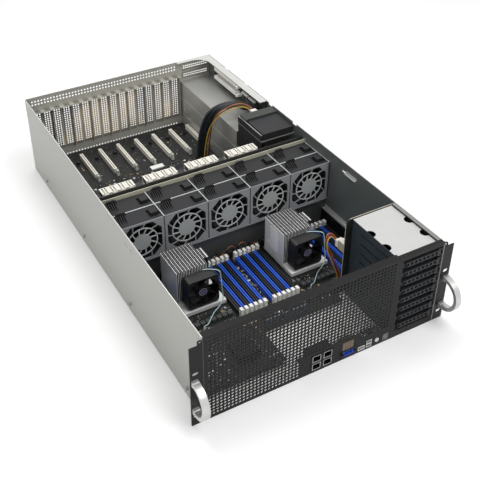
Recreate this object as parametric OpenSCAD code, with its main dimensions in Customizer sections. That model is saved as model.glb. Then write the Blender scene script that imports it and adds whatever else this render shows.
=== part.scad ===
// Rack server, four units high, for graphics cards: open-topped sheet steel body, 19-inch rack ears,
// perforated front, eight small drive trays, ten lift-out fan modules, two coolers, three power modules.
// X runs to the right seen from the front, Y from front to rear, Z up.
// The origin is the middle of the underside.

/* [Body] */
// Width over the outer faces of the side walls
body_w = 440; // [436:1:446]
// Depth from the front face to the rear face
body_d = 800; // [790:1:840]
// Height without the top cover
body_h = 172; // [170:0.5:176]
// Thickness of the body sheet
sheet = 1.2; // [1:0.1:1.5]

/* [Rack ears] */
// Width of one ear beside the body
ear_w = 21.3; // [20:0.1:23]
// Height of an ear
ear_h = 160; // [150:1:168]
// Thickness of an ear
ear_t = 2; // [1.5:0.1:3]
// Distance of a mounting slot's middle from the ear's outer edge
rack_hole_in = 8.75; // [8:0.05:10]
// Upright distance between the mounting slots
rack_hole_z = 88.9; // [85:0.1:92]
// Height of the lower mounting slots
rack_hole_low = 17.5; // [15:0.5:20]
// Height of one mounting slot
ear_slot_w = 6.8; // [6:0.1:7.5]
// Length of one mounting slot
ear_slot_l = 10.2; // [8.5:0.1:11]

/* [Ear handles] */
// Height of the lower foot's middle
handle_low = 36; // [34:0.5:40]
// Distance between the middles of the two feet
handle_span = 52; // [46:1:58]
// Thickness of the bow
handle_t = 6.5; // [5:0.5:8]
// Width of the bow
handle_w = 11; // [9:0.5:12]
// How far the straight legs stand out before the bow starts
handle_leg = 6; // [3:0.5:12]

/* [Front grille] */
// Distance between holes
mesh_pitch = 6.5; // [6:0.25:7]
// Diameter of a hole
mesh_hole = 4.6; // [3.8:0.1:5]
// Depth of the folded top strip
lip_d = 12; // [9:0.5:16]

/* [Drive bays] */
// Number of trays
tray_count = 8; // [4:1:8]
// Height of the bezel above the bays
bezel_head = 8.4; // [7:0.1:10]
// Width of a tray front
tray_w = 79; // [78:0.1:79.3]
// Length of a tray behind its front
tray_l = 100; // [90:1:104]
// Height of the perforated lever
lever_h = 9.4; // [8:0.2:11]

/* [Fans] */
// Number of fans across
fan_cols = 5; // [3:1:5]
// Number of fan rows
fan_rows = 2; // [1:1:2]
// Gap between the outer fans' dividers and the side walls
fan_side_gap = 2.3; // [1.5:0.1:4]
// Depth of one fan module
module_d = 39; // [37:0.5:39.4]
// Height of one fan module
module_h = 82; // [80.5:0.5:84]
// Thinnest wall around the air duct
duct_wall = 3; // [2.5:0.5:5]
// Height of the fan shelf
shelf_z = 67; // [64:0.5:70]
// Blades on one fan
blade_count = 7; // [5:1:9]

/* [Processor coolers and memory] */
// Width of a cooler's bracket
cooler_w = 79; // [76:0.5:80]
// Height of the fins' tops
cooler_top = 91; // [86:0.5:98]
// Distance between fins
fin_pitch = 3; // [2.6:0.1:3.4]
// Clear space between two memory slots
dimm_gap = 3; // [2.5:0.1:3.5]

/* [Graphics boards] */
// Clear space between two rear slot covers
cover_gap = 3.2; // [2.8:0.1:4]
// Number of rear slot covers
cover_count = 16; // [8:1:16]
// Number of long slots for graphics boards
gpu_slots = 8; // [4:1:8]

/* [Power modules] */
// Number of power modules
psu_count = 3; // [2:1:3]
// Width of one power module
psu_w = 73.5; // [72:0.5:74]
// Height of one power module
psu_h = 39; // [37:0.5:39.5]
// Length of one power module
psu_l = 240; // [200:5:245]

/* [Hidden] */
// Overrun of every cut
over = 1;
// Seam between two sheets that are riveted together
seam = 0.1;
// Running clearance of a piece that is lifted or slid out
slip = 0.3;
// Radial clearance of a shaft in its bore
fit = 0.05;
// Roundness of circles
round_fn = 32;

// Inner face of a side wall
wall_in = body_w / 2 - sheet;
// Width over both ears
rack_w = body_w + 2 * ear_w;
// Place of the front and rear faces
front = -body_d / 2;
rear = body_d / 2;

// A box between two opposite corners
module block(lo, hi) {
    translate(lo) cube(hi - lo);
}

// A plate that faces the front, drawn in X and Z, from y back by t
module upright(y, t) {
    translate([0, y + t, 0]) rotate([90, 0, 0]) linear_extrude(t) children();
}

// A plate that faces sideways, drawn in Y and Z, from x to the right by t
module sideways(x, t) {
    translate([x, 0, 0]) rotate([90, 0, 90]) linear_extrude(t) children();
}

// A flat rectangle between two opposite corners
module field(lo, hi) {
    translate(lo) square(hi - lo);
}

// A rectangle with round corners
module round_field(lo, hi, r) {
    field([lo.x + r, lo.y], [hi.x - r, hi.y]);
    field([lo.x, lo.y + r], [hi.x, hi.y - r]);
    for (x = [lo.x + r, hi.x - r], y = [lo.y + r, hi.y - r])
        translate([x, y]) circle(r, $fn = round_fn);
}

// Chassis tray: floor, two side walls, top flanges and the studs for the rack rails
wall_stud_r = 3;
wall_stud_l = 4;
wall_stud_z = 17.5;
wall_stud_first = 55;
wall_stud_pitch = 219;
wall_stud_count = 4;
flange_w = 17;
flange_l = 258;
flange_rear_d = 10;
flange_fillet = 30;
flange_side_w = 84;
cover_hook_w = 14;
cover_hook_d = 5;
cover_hook_places = [430, 520, 622, 707];
wall_slot_first = 240;
wall_slot_pitch = 20;
wall_slot_l = 14;
wall_slot_h = 3;
wall_slot_down = 22;
wall_hole_y = 130;
wall_hole_z = 40;
wall_hole_r = 2.5;

module side_wall(x, hooks) {
    sideways(x, sheet) difference() {
        field([front, sheet + seam], [rear, body_h]);
        for (k = [0:1])
            field([front + wall_slot_first + k * wall_slot_pitch, body_h - wall_slot_down],
                  [front + wall_slot_first + k * wall_slot_pitch + wall_slot_l,
                   body_h - wall_slot_down + wall_slot_h]);
        translate([front + wall_hole_y, wall_hole_z]) circle(wall_hole_r, $fn = round_fn);
        if (hooks)
            for (d = cover_hook_places)
                field([front + d, body_h - cover_hook_d], [front + d + cover_hook_w, body_h + over]);
    }
}

module rail_studs(x) {
    for (k = [0:wall_stud_count - 1])
        translate([x, front + wall_stud_first + k * wall_stud_pitch, wall_stud_z])
            rotate([0, 90, 0]) cylinder(h = wall_stud_l, r = wall_stud_r, $fn = round_fn);
}

module chassis_tray() color("gainsboro") {
    block([-body_w / 2, front + sheet + seam, 0], [body_w / 2, rear, sheet]);
    side_wall(-body_w / 2, false);
    side_wall(wall_in, true);
    rail_studs(-body_w / 2 - seam - wall_stud_l);
    rail_studs(body_w / 2 + seam);
    // Folded rim of the right wall
    block([wall_in - flange_w, rear - flange_l, body_h - sheet],
          [wall_in - seam, rear - flange_rear_d - flange_fillet - seam, body_h]);
    // Folded rim of the rear corner, with its round inner corner
    translate([0, 0, body_h - sheet]) linear_extrude(sheet) difference() {
        field([wall_in - flange_side_w, rear - flange_rear_d - flange_fillet], [wall_in - seam, rear]);
        field([wall_in - flange_side_w - over, rear - flange_rear_d - flange_fillet - over],
              [wall_in - flange_w - flange_fillet, rear - flange_rear_d]);
        translate([wall_in - flange_w - flange_fillet, rear - flange_rear_d - flange_fillet])
            circle(flange_fillet, $fn = round_fn);
    }
}

// Rear panel: the sheet with the card slots, its screw ledge, its ribs and the sheet above the power modules
psu_gap = slip;
psu_wall = 0.8;
psu_pitch = psu_h + 2 * psu_gap + psu_wall;
psu_floor = sheet + seam;
psu_top = psu_floor + psu_count * psu_pitch + psu_wall;
psu_x1 = wall_in - seam;
psu_x0 = psu_x1 - psu_w - 2 * psu_gap - 2 * psu_wall;
rear_x1 = psu_x0 - seam;
cover_edge = 9.3;
cover_end = 3.6;
cover_x0 = -wall_in + cover_edge;
cover_x1 = rear_x1 - cover_end;
cover_pitch = (cover_x1 - cover_x0) / cover_count;
cover_w = cover_pitch - cover_gap;
cover_t = 0.8;
cover_low = 33;
cover_lap = 1.9;
cover_slot_w = cover_w - 2 * cover_lap;
cover_slot_low = 39;
cover_slot_gap = 3;
ledge_down = 33;
ledge_z = body_h - ledge_down;
cover_slot_top = ledge_z - cover_slot_gap;
ledge_d = 14;
neck_w = 12;
rib_d = 6;
vent_hole_r = 2;
vent_pitch = 7;
vent_low_z = 15;
vent_down = 17.5;
vent_high_z = body_h - vent_down;
vent_count = floor((cover_x1 - cover_x0) / vent_pitch);
low_slot_w = 66;
low_slot_h = 12;
low_slot_pitch = 20;
low_slot_up = 7;
low_slot_z = psu_top + low_slot_up;
low_cover_margin = 2;
low_slot_x1 = psu_x1 - 2 * psu_wall;

function cover_x(k) = cover_x0 + (k + 1 / 2) * cover_pitch;

module rear_panel() color("lightgray") {
    upright(rear - sheet, sheet) difference() {
        field([-wall_in + seam, sheet + seam], [rear_x1, body_h]);
        for (k = [0:cover_count - 1])
            field([cover_x(k) - cover_slot_w / 2, cover_slot_low],
                  [cover_x(k) + cover_slot_w / 2, cover_slot_top]);
        for (i = [0:vent_count - 1], z = [vent_low_z, vent_high_z, vent_high_z + vent_pitch])
            translate([cover_x0 + (i + 1 / 2) * vent_pitch, z]) circle(vent_hole_r, $fn = round_fn);
        // Step under the folded rim of the corner
        field([wall_in - flange_side_w - slip, body_h - sheet - seam], [rear_x1 + over, body_h + over]);
    }
    // Screw ledge, notched where the covers' necks pass
    translate([0, 0, ledge_z]) linear_extrude(sheet) difference() {
        field([cover_x0, rear - sheet - seam - ledge_d], [cover_x1, rear - sheet - seam]);
        for (k = [0:cover_count - 1])
            field([cover_x(k) - neck_w / 2 - slip, rear - sheet - 3 * seam - cover_t - slip],
                  [cover_x(k) + neck_w / 2 + slip, rear - sheet + over]);
    }
    // Upright ribs between pairs of covers
    for (k = [0:2:cover_count])
        block([cover_x0 + k * cover_pitch - sheet / 2, rear - sheet - seam - rib_d, cover_low],
              [cover_x0 + k * cover_pitch + sheet / 2, rear - sheet - seam, ledge_z - seam]);
    // Sheet above the power modules, with two low card slots
    upright(rear - sheet, sheet) difference() {
        field([psu_x0, psu_top + seam], [wall_in - seam, body_h - sheet - seam]);
        for (k = [0:1])
            field([low_slot_x1 - low_slot_w, low_slot_z + k * low_slot_pitch],
                  [low_slot_x1, low_slot_z + k * low_slot_pitch + low_slot_h]);
    }
}

// Slot covers: perforated plates with a bent tab and a screw
cover_hole_r = 1.7;
cover_hole_pitch = 5.2;
cover_hole_cols = 3;
cover_tab_d = 12;
cover_screw_r = 3;
cover_screw_h = 1.8;
cover_rows = floor((cover_slot_top - cover_slot_low) / cover_hole_pitch);
low_hole_cols = floor(low_slot_w / cover_hole_pitch);

module slot_cover(x) {
    y1 = rear - sheet - seam;
    upright(y1 - cover_t, cover_t) difference() {
        union() {
            field([x - cover_w / 2, cover_low], [x + cover_w / 2, ledge_z - seam]);
            field([x - neck_w / 2, cover_low], [x + neck_w / 2, ledge_z + sheet + seam + cover_t]);
        }
        for (i = [0:cover_hole_cols - 1], j = [0:cover_rows - 1])
            translate([x + (i - (cover_hole_cols - 1) / 2) * cover_hole_pitch,
                       cover_slot_low + (j + 1 / 2) * cover_hole_pitch])
                circle(cover_hole_r, $fn = round_fn);
    }
    block([x - neck_w / 2, y1 - cover_tab_d, ledge_z + sheet + seam],
          [x + neck_w / 2, y1 - cover_t, ledge_z + sheet + seam + cover_t]);
    translate([x, y1 - cover_tab_d / 2, ledge_z + sheet + seam + cover_t])
        cylinder(h = cover_screw_h, r = cover_screw_r, $fn = round_fn);
}

// Cover of a low card slot above the power modules
module low_cover(z) {
    upright(rear - sheet - seam - cover_t, cover_t) difference() {
        field([low_slot_x1 - low_slot_w - low_cover_margin, z - low_cover_margin],
              [low_slot_x1, z + low_slot_h + low_cover_margin]);
        for (i = [0:low_hole_cols - 1], j = [0:1])
            translate([low_slot_x1 - low_slot_w + (i + 1 / 2) * cover_hole_pitch,
                       z + low_slot_h / 2 + (j - 1 / 2) * cover_hole_pitch])
                circle(cover_hole_r, $fn = round_fn);
    }
}

module slot_covers() color("silver") {
    for (k = [0:cover_count - 1])
        slot_cover(cover_x(k));
    for (k = [0:1])
        low_cover(low_slot_z + k * low_slot_pitch);
}

// Sideways places of the front: bays at the right wall, port panel beside them, grille to the left wall
tray_side = 2.1;
bezel_x1 = wall_in - seam;
tray_x1 = bezel_x1 - tray_side;
tray_x0 = tray_x1 - tray_w;
jamb_w = 6.2;
grille_x1 = tray_x0 - slip - jamb_w - seam;
bezel_x0 = grille_x1 + seam;
port_panel_w = 180;
port_x0 = grille_x1 - port_panel_w;

// Front grille: perforated sheet left of the drive bays, folded top strip
mesh_first = 8.8;
mesh_x0 = -wall_in + mesh_first;
mesh_z0 = 7.5;
mesh_down = 8;
mesh_z1 = body_h - mesh_down;
port_top = 43.75;
mesh_edge = 5;
mesh_cols = floor((grille_x1 - mesh_edge - mesh_x0) / mesh_pitch) + 1;
mesh_rows = floor((mesh_z1 - mesh_z0) / mesh_pitch) + 1;
lip_rivet_r = 2;
lip_rivet_h = 0.6;
lip_rivet_places = [-111, 0];

module mesh_holes(x0, x1, z0, z1) {
    for (i = [0:mesh_cols - 1], j = [0:mesh_rows - 1]) {
        x = mesh_x0 + i * mesh_pitch;
        z = mesh_z0 + j * mesh_pitch;
        if (x - mesh_hole / 2 > x0 && x + mesh_hole / 2 < x1
            && z - mesh_hole / 2 > z0 && z + mesh_hole / 2 < z1)
            translate([x, z]) circle(d = mesh_hole, $fn = round_fn);
    }
}

module front_grille() color("black") {
    upright(front, sheet) difference() {
        field([-wall_in + seam, port_top], [grille_x1, body_h - sheet - seam]);
        mesh_holes(-wall_in, grille_x1, port_top, body_h);
    }
    upright(front, sheet) difference() {
        field([-wall_in + seam, 0], [port_x0 - seam, port_top - seam]);
        mesh_holes(-wall_in, port_x0, 0, port_top);
    }
    block([-wall_in + seam, front, body_h - sheet], [grille_x1, front + lip_d, body_h]);
    for (x = lip_rivet_places)
        translate([x, front + lip_d / 2, body_h]) cylinder(h = lip_rivet_h, r = lip_rivet_r, $fn = round_fn);
}

// Rack ears: slotted plates beside the front, each with a small arched tab
ear_tab_w = 8;
ear_tab_h = 9;
ear_tab_hole = 2.2;

module rack_ear() {
    upright(front, ear_t) difference() {
        union() {
            field([body_w / 2, 0], [body_w / 2 + ear_w, ear_h]);
            field([body_w / 2, ear_h - over], [body_w / 2 + ear_tab_w, ear_h + ear_tab_h - ear_tab_w / 2]);
            translate([body_w / 2 + ear_tab_w / 2, ear_h + ear_tab_h - ear_tab_w / 2])
                circle(ear_tab_w / 2, $fn = round_fn);
        }
        for (z = [rack_hole_low, rack_hole_low + rack_hole_z])
            translate([rack_w / 2 - rack_hole_in, z]) {
                for (s = [-1, 1])
                    translate([s * (ear_slot_l - ear_slot_w) / 2, 0]) circle(ear_slot_w / 2, $fn = round_fn);
                square([ear_slot_l - ear_slot_w, ear_slot_w], center = true);
            }
        translate([body_w / 2 + ear_tab_w / 2, ear_h + ear_tab_h - ear_tab_w / 2])
            circle(ear_tab_hole, $fn = round_fn);
    }
}

module rack_ears() color("black") {
    rack_ear();
    mirror([1, 0, 0]) rack_ear();
}

// Ear handles: cast bows that stand out from the ears
handle_r = handle_span / 2 + handle_t;
handle_foot_h = 9;
handle_foot_d = 5;
handle_inset = 1.3;

module ear_handle() {
    x0 = rack_w / 2 - handle_w - handle_inset;
    mid_z = handle_low + handle_span / 2;
    translate([0, front - handle_leg, mid_z]) sideways(x0, handle_w) {
        difference() {
            circle(handle_r, $fn = round_fn);
            circle(handle_span / 2, $fn = round_fn);
            field([0, -handle_r - over], [handle_r + over, handle_r + over]);
        }
        for (s = [-1, 1]) {
            field([-seam, s * (handle_r + handle_span / 2) / 2 - handle_t / 2],
                  [handle_leg, s * (handle_r + handle_span / 2) / 2 + handle_t / 2]);
            field([handle_leg - handle_foot_d, s * (handle_r + handle_span / 2) / 2 - handle_foot_h / 2],
                  [handle_leg, s * (handle_r + handle_span / 2) / 2 + handle_foot_h / 2]);
        }
    }
}
module ear_handles() color("silver") {
    ear_handle();
    mirror([1, 0, 0]) ear_handle();
}

// Drive cage: black bezel, slotted side walls, runners and the light top plate
bezel_d = 8;
bay_z0 = 13.6;
bay_top = body_h - bezel_head;
bay_pitch = (bay_top - bay_z0) / tray_count;
tray_gap = 0.4;
tray_h = bay_pitch - 2 * tray_gap;
cage_wall = 0.8;
cage_l = 124;
cage_top_down = 5;
cage_top_z = body_h - cage_top_down;
runner_reach = 3;
runner_start = 14;
cage_slot_l = 33;
cage_slot_h = 2.6;
cage_slot_places = [29, 66];
cage_slot_up = 5;
cage_notch_r = 9;
cage_notch_places = [38, 78];
cage_rim_w = 7;

function bay_z(k) = bay_z0 + k * bay_pitch;

module cage_side(x) {
    sideways(x, cage_wall) difference() {
        field([front + bezel_d + seam, sheet + seam], [front + cage_l, cage_top_z - seam]);
        for (k = [0:tray_count - 1], d = cage_slot_places)
            field([front + d, bay_z(k) + cage_slot_up],
                  [front + d + cage_slot_l, bay_z(k) + cage_slot_up + cage_slot_h]);
    }
}

module drive_cage() color("dimgray") {
    // Bezel: header, sill and two jambs
    block([bezel_x0, front, bay_top + slip], [bezel_x1, front + bezel_d, body_h]);
    block([bezel_x0, front, 0], [bezel_x1, front + sheet, bay_z0 - slip]);
    block([bezel_x0, front, bay_z0 - slip + seam], [tray_x0 - slip, front + bezel_d, bay_top + slip - seam]);
    block([tray_x1 + slip, front, bay_z0 - slip + seam], [bezel_x1, front + bezel_d, bay_top + slip - seam]);
    cage_side(bezel_x0);
    cage_side(bezel_x1 - cage_wall);
    // Runners that carry the trays
    for (k = [0:tray_count - 1]) {
        z1 = bay_z(k) + tray_gap - slip;
        block([bezel_x0 + cage_wall + seam, front + runner_start, z1 - cage_wall],
              [tray_x0 + runner_reach, front + cage_l, z1]);
        block([tray_x1 - runner_reach, front + runner_start, z1 - cage_wall],
              [bezel_x1 - cage_wall - seam, front + cage_l, z1]);
    }
    // Top plate with notched edges
    translate([0, 0, cage_top_z]) linear_extrude(sheet) difference() {
        field([bezel_x0, front + bezel_d + seam], [wall_in - cage_rim_w - seam, front + cage_l]);
        for (d = cage_notch_places, x = [bezel_x0, wall_in - cage_rim_w - seam])
            translate([x, front + d]) circle(cage_notch_r, $fn = round_fn);
    }
    // Rim of the body wall beside the top plate
    block([wall_in - cage_rim_w, front + bezel_d + seam, body_h - sheet],
          [wall_in - seam, front + cage_l, body_h]);
}

// Drive backplane: upright board behind the trays with drive connectors, plugs and a power lead's plug
board_t = 1.6;
back_overhang = 12.1;
back_x0 = bezel_x0 - back_overhang;
back_gap = 2;
back_y = front + cage_l + back_gap;
back_z0 = 20;
back_down = 3;
back_z1 = body_h - back_down;
back_corner = 10;
drive_conn_w = 34;
drive_conn_h = 6;
drive_conn_d = 9;
back_plug_w = 12;
back_plug_h = 18;
back_plug_d = 16;
back_plug_z = 98;
data_plug_w = 20;
data_plug_h = 9;
data_plug_d = 10;
data_plug_places = [40, 140];

module drive_backplane() color("darkslategray") {
    upright(back_y, board_t) {
        field([back_x0, back_z0], [bezel_x1, back_z1 - back_corner]);
        field([back_x0 + back_corner, back_z0], [bezel_x1, back_z1]);
        translate([back_x0 + back_corner, back_z1 - back_corner]) circle(back_corner, $fn = round_fn);
    }
    for (k = [0:tray_count - 1])
        block([(tray_x0 + tray_x1 - drive_conn_w) / 2, back_y - drive_conn_d,
               bay_z(k) + bay_pitch / 2 - drive_conn_h / 2],
              [(tray_x0 + tray_x1 + drive_conn_w) / 2, back_y - seam,
               bay_z(k) + bay_pitch / 2 + drive_conn_h / 2]);
    block([back_x0, back_y + board_t + seam, back_plug_z],
          [back_x0 + back_plug_w, back_y + board_t + seam + back_plug_d, back_plug_z + back_plug_h]);
    for (z = data_plug_places)
        block([(tray_x0 + tray_x1 - data_plug_w) / 2, back_y + board_t + seam, z],
              [(tray_x0 + tray_x1 + data_plug_w) / 2, back_y + board_t + seam + data_plug_d, z + data_plug_h]);
}

// Drive tray: bezel with a window, latch and hinge lugs, two rails and a floor
lever_d = 5;
lever_out = 1;
lever_slant = 4;
lever_side = 3.4;
lug_t = 2.4;
lug_w = 9;
pin_r = 1.1;
lever_eye_r = 2.5;
lever_hole_r = 2.9;
lever_hole_pitch = 8.3;
lever_hole_count = 8;
lever_hole_first = 8;
tray_plate_d = 4;
tray_window_w = 58;
tray_window_h = 9;
tray_latch_w = 2.6;
tray_latch_h = 7;
rail_h = 12;
rail_t = 1;
rail_in = 1;
tray_floor_up = 1;
drive_screw_r = 1.6;
drive_screw_in = 14;

hinge_x = tray_x1 - lug_w / 2;
hinge_y = front - lever_out + lever_d / 2;
lever_back = front - lever_out + lever_d;
tray_plate_y = lever_back + slip;
tray_back = tray_plate_y + tray_plate_d;

module drive_tray(k) color("dimgray") {
    z0 = bay_z(k) + tray_gap;
    mid = z0 + tray_h / 2;
    // Bezel plate with its window
    upright(tray_plate_y, tray_plate_d) difference() {
        field([tray_x0, z0], [tray_x1, z0 + tray_h]);
        field([hinge_x - lug_w / 2 - lever_side - tray_window_w, mid - tray_window_h / 2],
              [hinge_x - lug_w / 2 - lever_side, mid + tray_window_h / 2]);
    }
    // Hinge lugs and pin
    for (s = [-1, 1])
        translate([0, 0, mid + s * (lever_h / 2 + slip + lug_t / 2) - lug_t / 2])
            block([tray_x1 - lug_w, front - lever_out, 0], [tray_x1, tray_plate_y, lug_t]);
    translate([hinge_x, hinge_y, mid - lever_h / 2 - 2 * slip])
        cylinder(h = lever_h + 4 * slip, r = pin_r, $fn = round_fn);
    // Latch beside the lever's free end
    block([tray_x0, front + lever_out, mid - tray_latch_h / 2],
          [tray_x0 + tray_latch_w, tray_plate_y, mid + tray_latch_h / 2]);
    // Rails and floor
    for (x = [tray_x0 + rail_in, tray_x1 - rail_in - rail_t])
        sideways(x, rail_t) difference() {
            field([tray_back + seam, z0], [tray_back + seam + tray_l, z0 + rail_h]);
            for (d = [drive_screw_in, tray_l - drive_screw_in])
                translate([tray_back + d, z0 + rail_h / 2]) circle(drive_screw_r, $fn = round_fn);
        }
    block([tray_x0 + rail_in + rail_t + seam, tray_back + seam, z0 + tray_floor_up],
          [tray_x1 - rail_in - rail_t - seam, tray_back + seam + tray_l, z0 + tray_floor_up + cage_wall]);
}

// Tray lever: perforated bar with a slanted free end, turning on the pin at its right end
module tray_lever(k) color("gray") {
    mid = bay_z(k) + tray_gap + tray_h / 2;
    x0 = tray_x0 + lever_side;
    difference() {
        union() {
            upright(front - lever_out, lever_d) difference() {
                polygon([[x0, mid + lever_h / 2], [hinge_x, mid + lever_h / 2], [hinge_x, mid - lever_h / 2],
                         [x0 + lever_slant, mid - lever_h / 2]]);
                for (i = [0:lever_hole_count - 1])
                    translate([hinge_x - lever_hole_first - i * lever_hole_pitch, mid])
                        circle(lever_hole_r, $fn = 6);
            }
            translate([hinge_x, hinge_y, mid - lever_h / 2])
                cylinder(h = lever_h, r = lever_eye_r, $fn = round_fn);
        }
        translate([hinge_x, hinge_y, mid - lever_h / 2 - over])
            cylinder(h = lever_h + 2 * over, r = pin_r + fit, $fn = round_fn);
    }
}

// Places across the body: memory group, cooler and group, twice, between the walls
dimm_group_count = 4;
dimm_per_group = 6;
dimm_wall_left = 3.8;
dimm_outer = 9.6;
dimm_inner = 2.8;
dimm_middle = 9.8;
dimm_right = 7.5;
dimm_wall_right = 10.9;
dimm_room = 2 * (wall_in - cooler_w - dimm_outer) - dimm_wall_left - dimm_inner - dimm_middle
            - dimm_right - dimm_wall_right;
dimm_pitch = dimm_room / dimm_group_count / dimm_per_group;
dimm_w = dimm_pitch - dimm_gap;
dimm_x1 = -wall_in + dimm_wall_left;
cooler_left_x = dimm_x1 + dimm_per_group * dimm_pitch + dimm_outer + cooler_w / 2;
dimm_x2 = cooler_left_x + cooler_w / 2 + dimm_inner;
dimm_x3 = dimm_x2 + dimm_per_group * dimm_pitch + dimm_middle;
cooler_right_x = dimm_x3 + dimm_per_group * dimm_pitch + dimm_outer + cooler_w / 2;
dimm_x4 = cooler_right_x + cooler_w / 2 + dimm_right;

// Motherboard: board on standoffs, sockets, chokes, chipset cooler and upright connectors
mb_z = 8.1;
mb_top = mb_z + board_t;
mb_edge_left = 2.8;
mb_edge_right = 12.8;
mb_x0 = -wall_in + mb_edge_left;
mb_x1 = wall_in - mb_edge_right;
mb_front = 38;
mb_mid = 110;
mb_right = 132;
mb_rear = 318;
mb_step = 1;
mb_step_x = port_x0 - mb_step;
mb_cage_gap = 7;
mb_cage_x = back_x0 - mb_cage_gap;
standoff_r = 3;
choke = 8.4;
choke_h = 7;
choke_pitch = 10.4;
choke_count = 7;
choke_y = 168;
socket_in = 1.5;
socket_w = cooler_w - 2 * socket_in;
socket_d = 90;
socket_h = 2.4;
cooler_front = 200;
cooler_d = 94;
chip_w = 40;
chip_h = 11;
chip_x = -120;
chip_y = 66;
chip_base = 3;
chip_fin = 1.2;
chip_fin_pitch = 3.4;
header_x = -34;
header_w = 8;
header_y = 150;
header_d = 6;
header_h = 7;
atx_in = 1;
atx_x = back_x0 + atx_in;
atx_y = 140;
atx_w = 11;
atx_l = 22;
atx_h = 13;
port_row_x = -40;
port_row_y = 118;
port_row_w = 14;
port_row_d = 8;
port_row_h = 10;
port_row_pitch = 18;
port_row_count = 5;

module chokes(x) {
    for (i = [0:choke_count - 1])
        block([x + (i - choke_count / 2) * choke_pitch, front + choke_y, mb_top + seam],
              [x + (i - choke_count / 2) * choke_pitch + choke, front + choke_y + choke, mb_top + seam + choke_h]);
}

module motherboard() color("darkslategray") {
    translate([0, 0, mb_z]) linear_extrude(board_t) translate([0, front])
        polygon([[mb_x0, mb_front], [mb_step_x, mb_front], [mb_step_x, mb_mid], [mb_cage_x, mb_mid],
                 [mb_cage_x, mb_right], [mb_x1, mb_right], [mb_x1, mb_rear], [mb_x0, mb_rear]]);
    // Standoffs
    for (x = [mb_x0 + choke, 0, mb_x1 - choke], y = [mb_right + choke, mb_rear - choke])
        translate([x, front + y, sheet]) cylinder(h = mb_z - sheet - seam, r = standoff_r, $fn = round_fn);
    for (x = [cooler_left_x, cooler_right_x]) {
        chokes(x);
        block([x + header_x, front + header_y, mb_top + seam],
              [x + header_x + header_w, front + header_y + header_d, mb_top + seam + header_h]);
        block([x - socket_w / 2, front + cooler_front + seam, mb_top + seam],
              [x + socket_w / 2, front + cooler_front + socket_d, mb_top + seam + socket_h]);
    }
    // Finned chipset cooler
    translate([0, front + chip_y, mb_top + seam]) upright(0, chip_w) difference() {
        field([chip_x, 0], [chip_x + chip_w, chip_h]);
        for (x = [chip_x + chip_fin:chip_fin_pitch:chip_x + chip_w - chip_fin_pitch])
            field([x, chip_base], [x + chip_fin_pitch - chip_fin, chip_h + over]);
    }
    // Board power socket and the row of upright connectors
    block([atx_x, front + atx_y, mb_top + seam],
          [atx_x + atx_l, front + atx_y + atx_w, mb_top + seam + atx_h]);
    for (i = [0:port_row_count - 1])
        block([port_row_x + i * port_row_pitch, front + port_row_y, mb_top + seam],
              [port_row_x + i * port_row_pitch + port_row_w, front + port_row_y + port_row_d,
               mb_top + seam + port_row_h]);
}

// Port board: front shield, small board, network block, display and serial sockets, small ports
shield_t = sheet;
port_board_z = 2.3;
port_board_top = port_board_z + board_t;
port_board_d = 34;
port_board_in = 16;
port_board_end = 3;
port_board_x0 = port_x0 + port_board_in;
port_board_x1 = grille_x1 - port_board_end;
port_out = 0.5;
net_in = 20;
net_x0 = port_x0 + net_in;
net_w = 42.8;
net_h = 33.6;
net_d = 21;
net_hole_w = 14;
net_hole_h = 11;
net_hole_d = 14;
vga_in = 78;
vga_x0 = port_x0 + vga_in;
vga_w = 31;
vga_h = 15;
vga_d = 14;
vga_shell_w = 16.8;
vga_shell_h = 9;
vga_shell_d = 5;
vga_post_r = 2.4;
vga_post_l = 2.4;
serial_in = 81;
serial_x0 = port_x0 + serial_in;
serial_w = 21;
serial_h = 16;
serial_pin_r = 1;
serial_pin_pitch = 5;
usb_in = 113;
usb_x0 = port_x0 + usb_in;
usb_w = 13.6;
usb_h = 8.2;
usb_d = 17;
usb_hole_w = 12;
usb_hole_h = 4.6;
stack_in = 129.5;
stack_x0 = port_x0 + stack_in;
stack_w = 11;
stack_h = 15;
stack_hole_w = 8.4;
stack_hole_h = 4.4;
lamp_in = 163.5;
lamp_x0 = port_x0 + lamp_in;
lamp_w = 11;
lamp_h = 13;
lamp_hole = 2.6;
button_in = 151;
button_x = port_x0 + button_in;
button_z = 12;
button_r = 4;
button_out = 1.2;
button_travel = 1.5;
button_cap_d = 3;
button_stem_r = 1.5;
button_stem_l = 6;
switch_w = 8;
switch_d = 7;

// A socket housing on the board, its face at the front, with blind holes
module socket_box(x0, w, h, d, z0) {
    difference() {
        block([x0, front - port_out, z0], [x0 + w, front - port_out + d, z0 + h]);
        children();
    }
}

module blind_hole(x, z, w, h, d) {
    block([x - w / 2, front - port_out - over, z - h / 2], [x + w / 2, front - port_out + d, z + h / 2]);
}

module shield_gap(x0, w, z0, h) {
    field([x0 - slip, z0 - slip], [x0 + w + slip, z0 + h + slip]);
}

port_seat = port_board_top + seam;
serial_z = port_seat + vga_h + 2 * slip + sheet;

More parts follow.
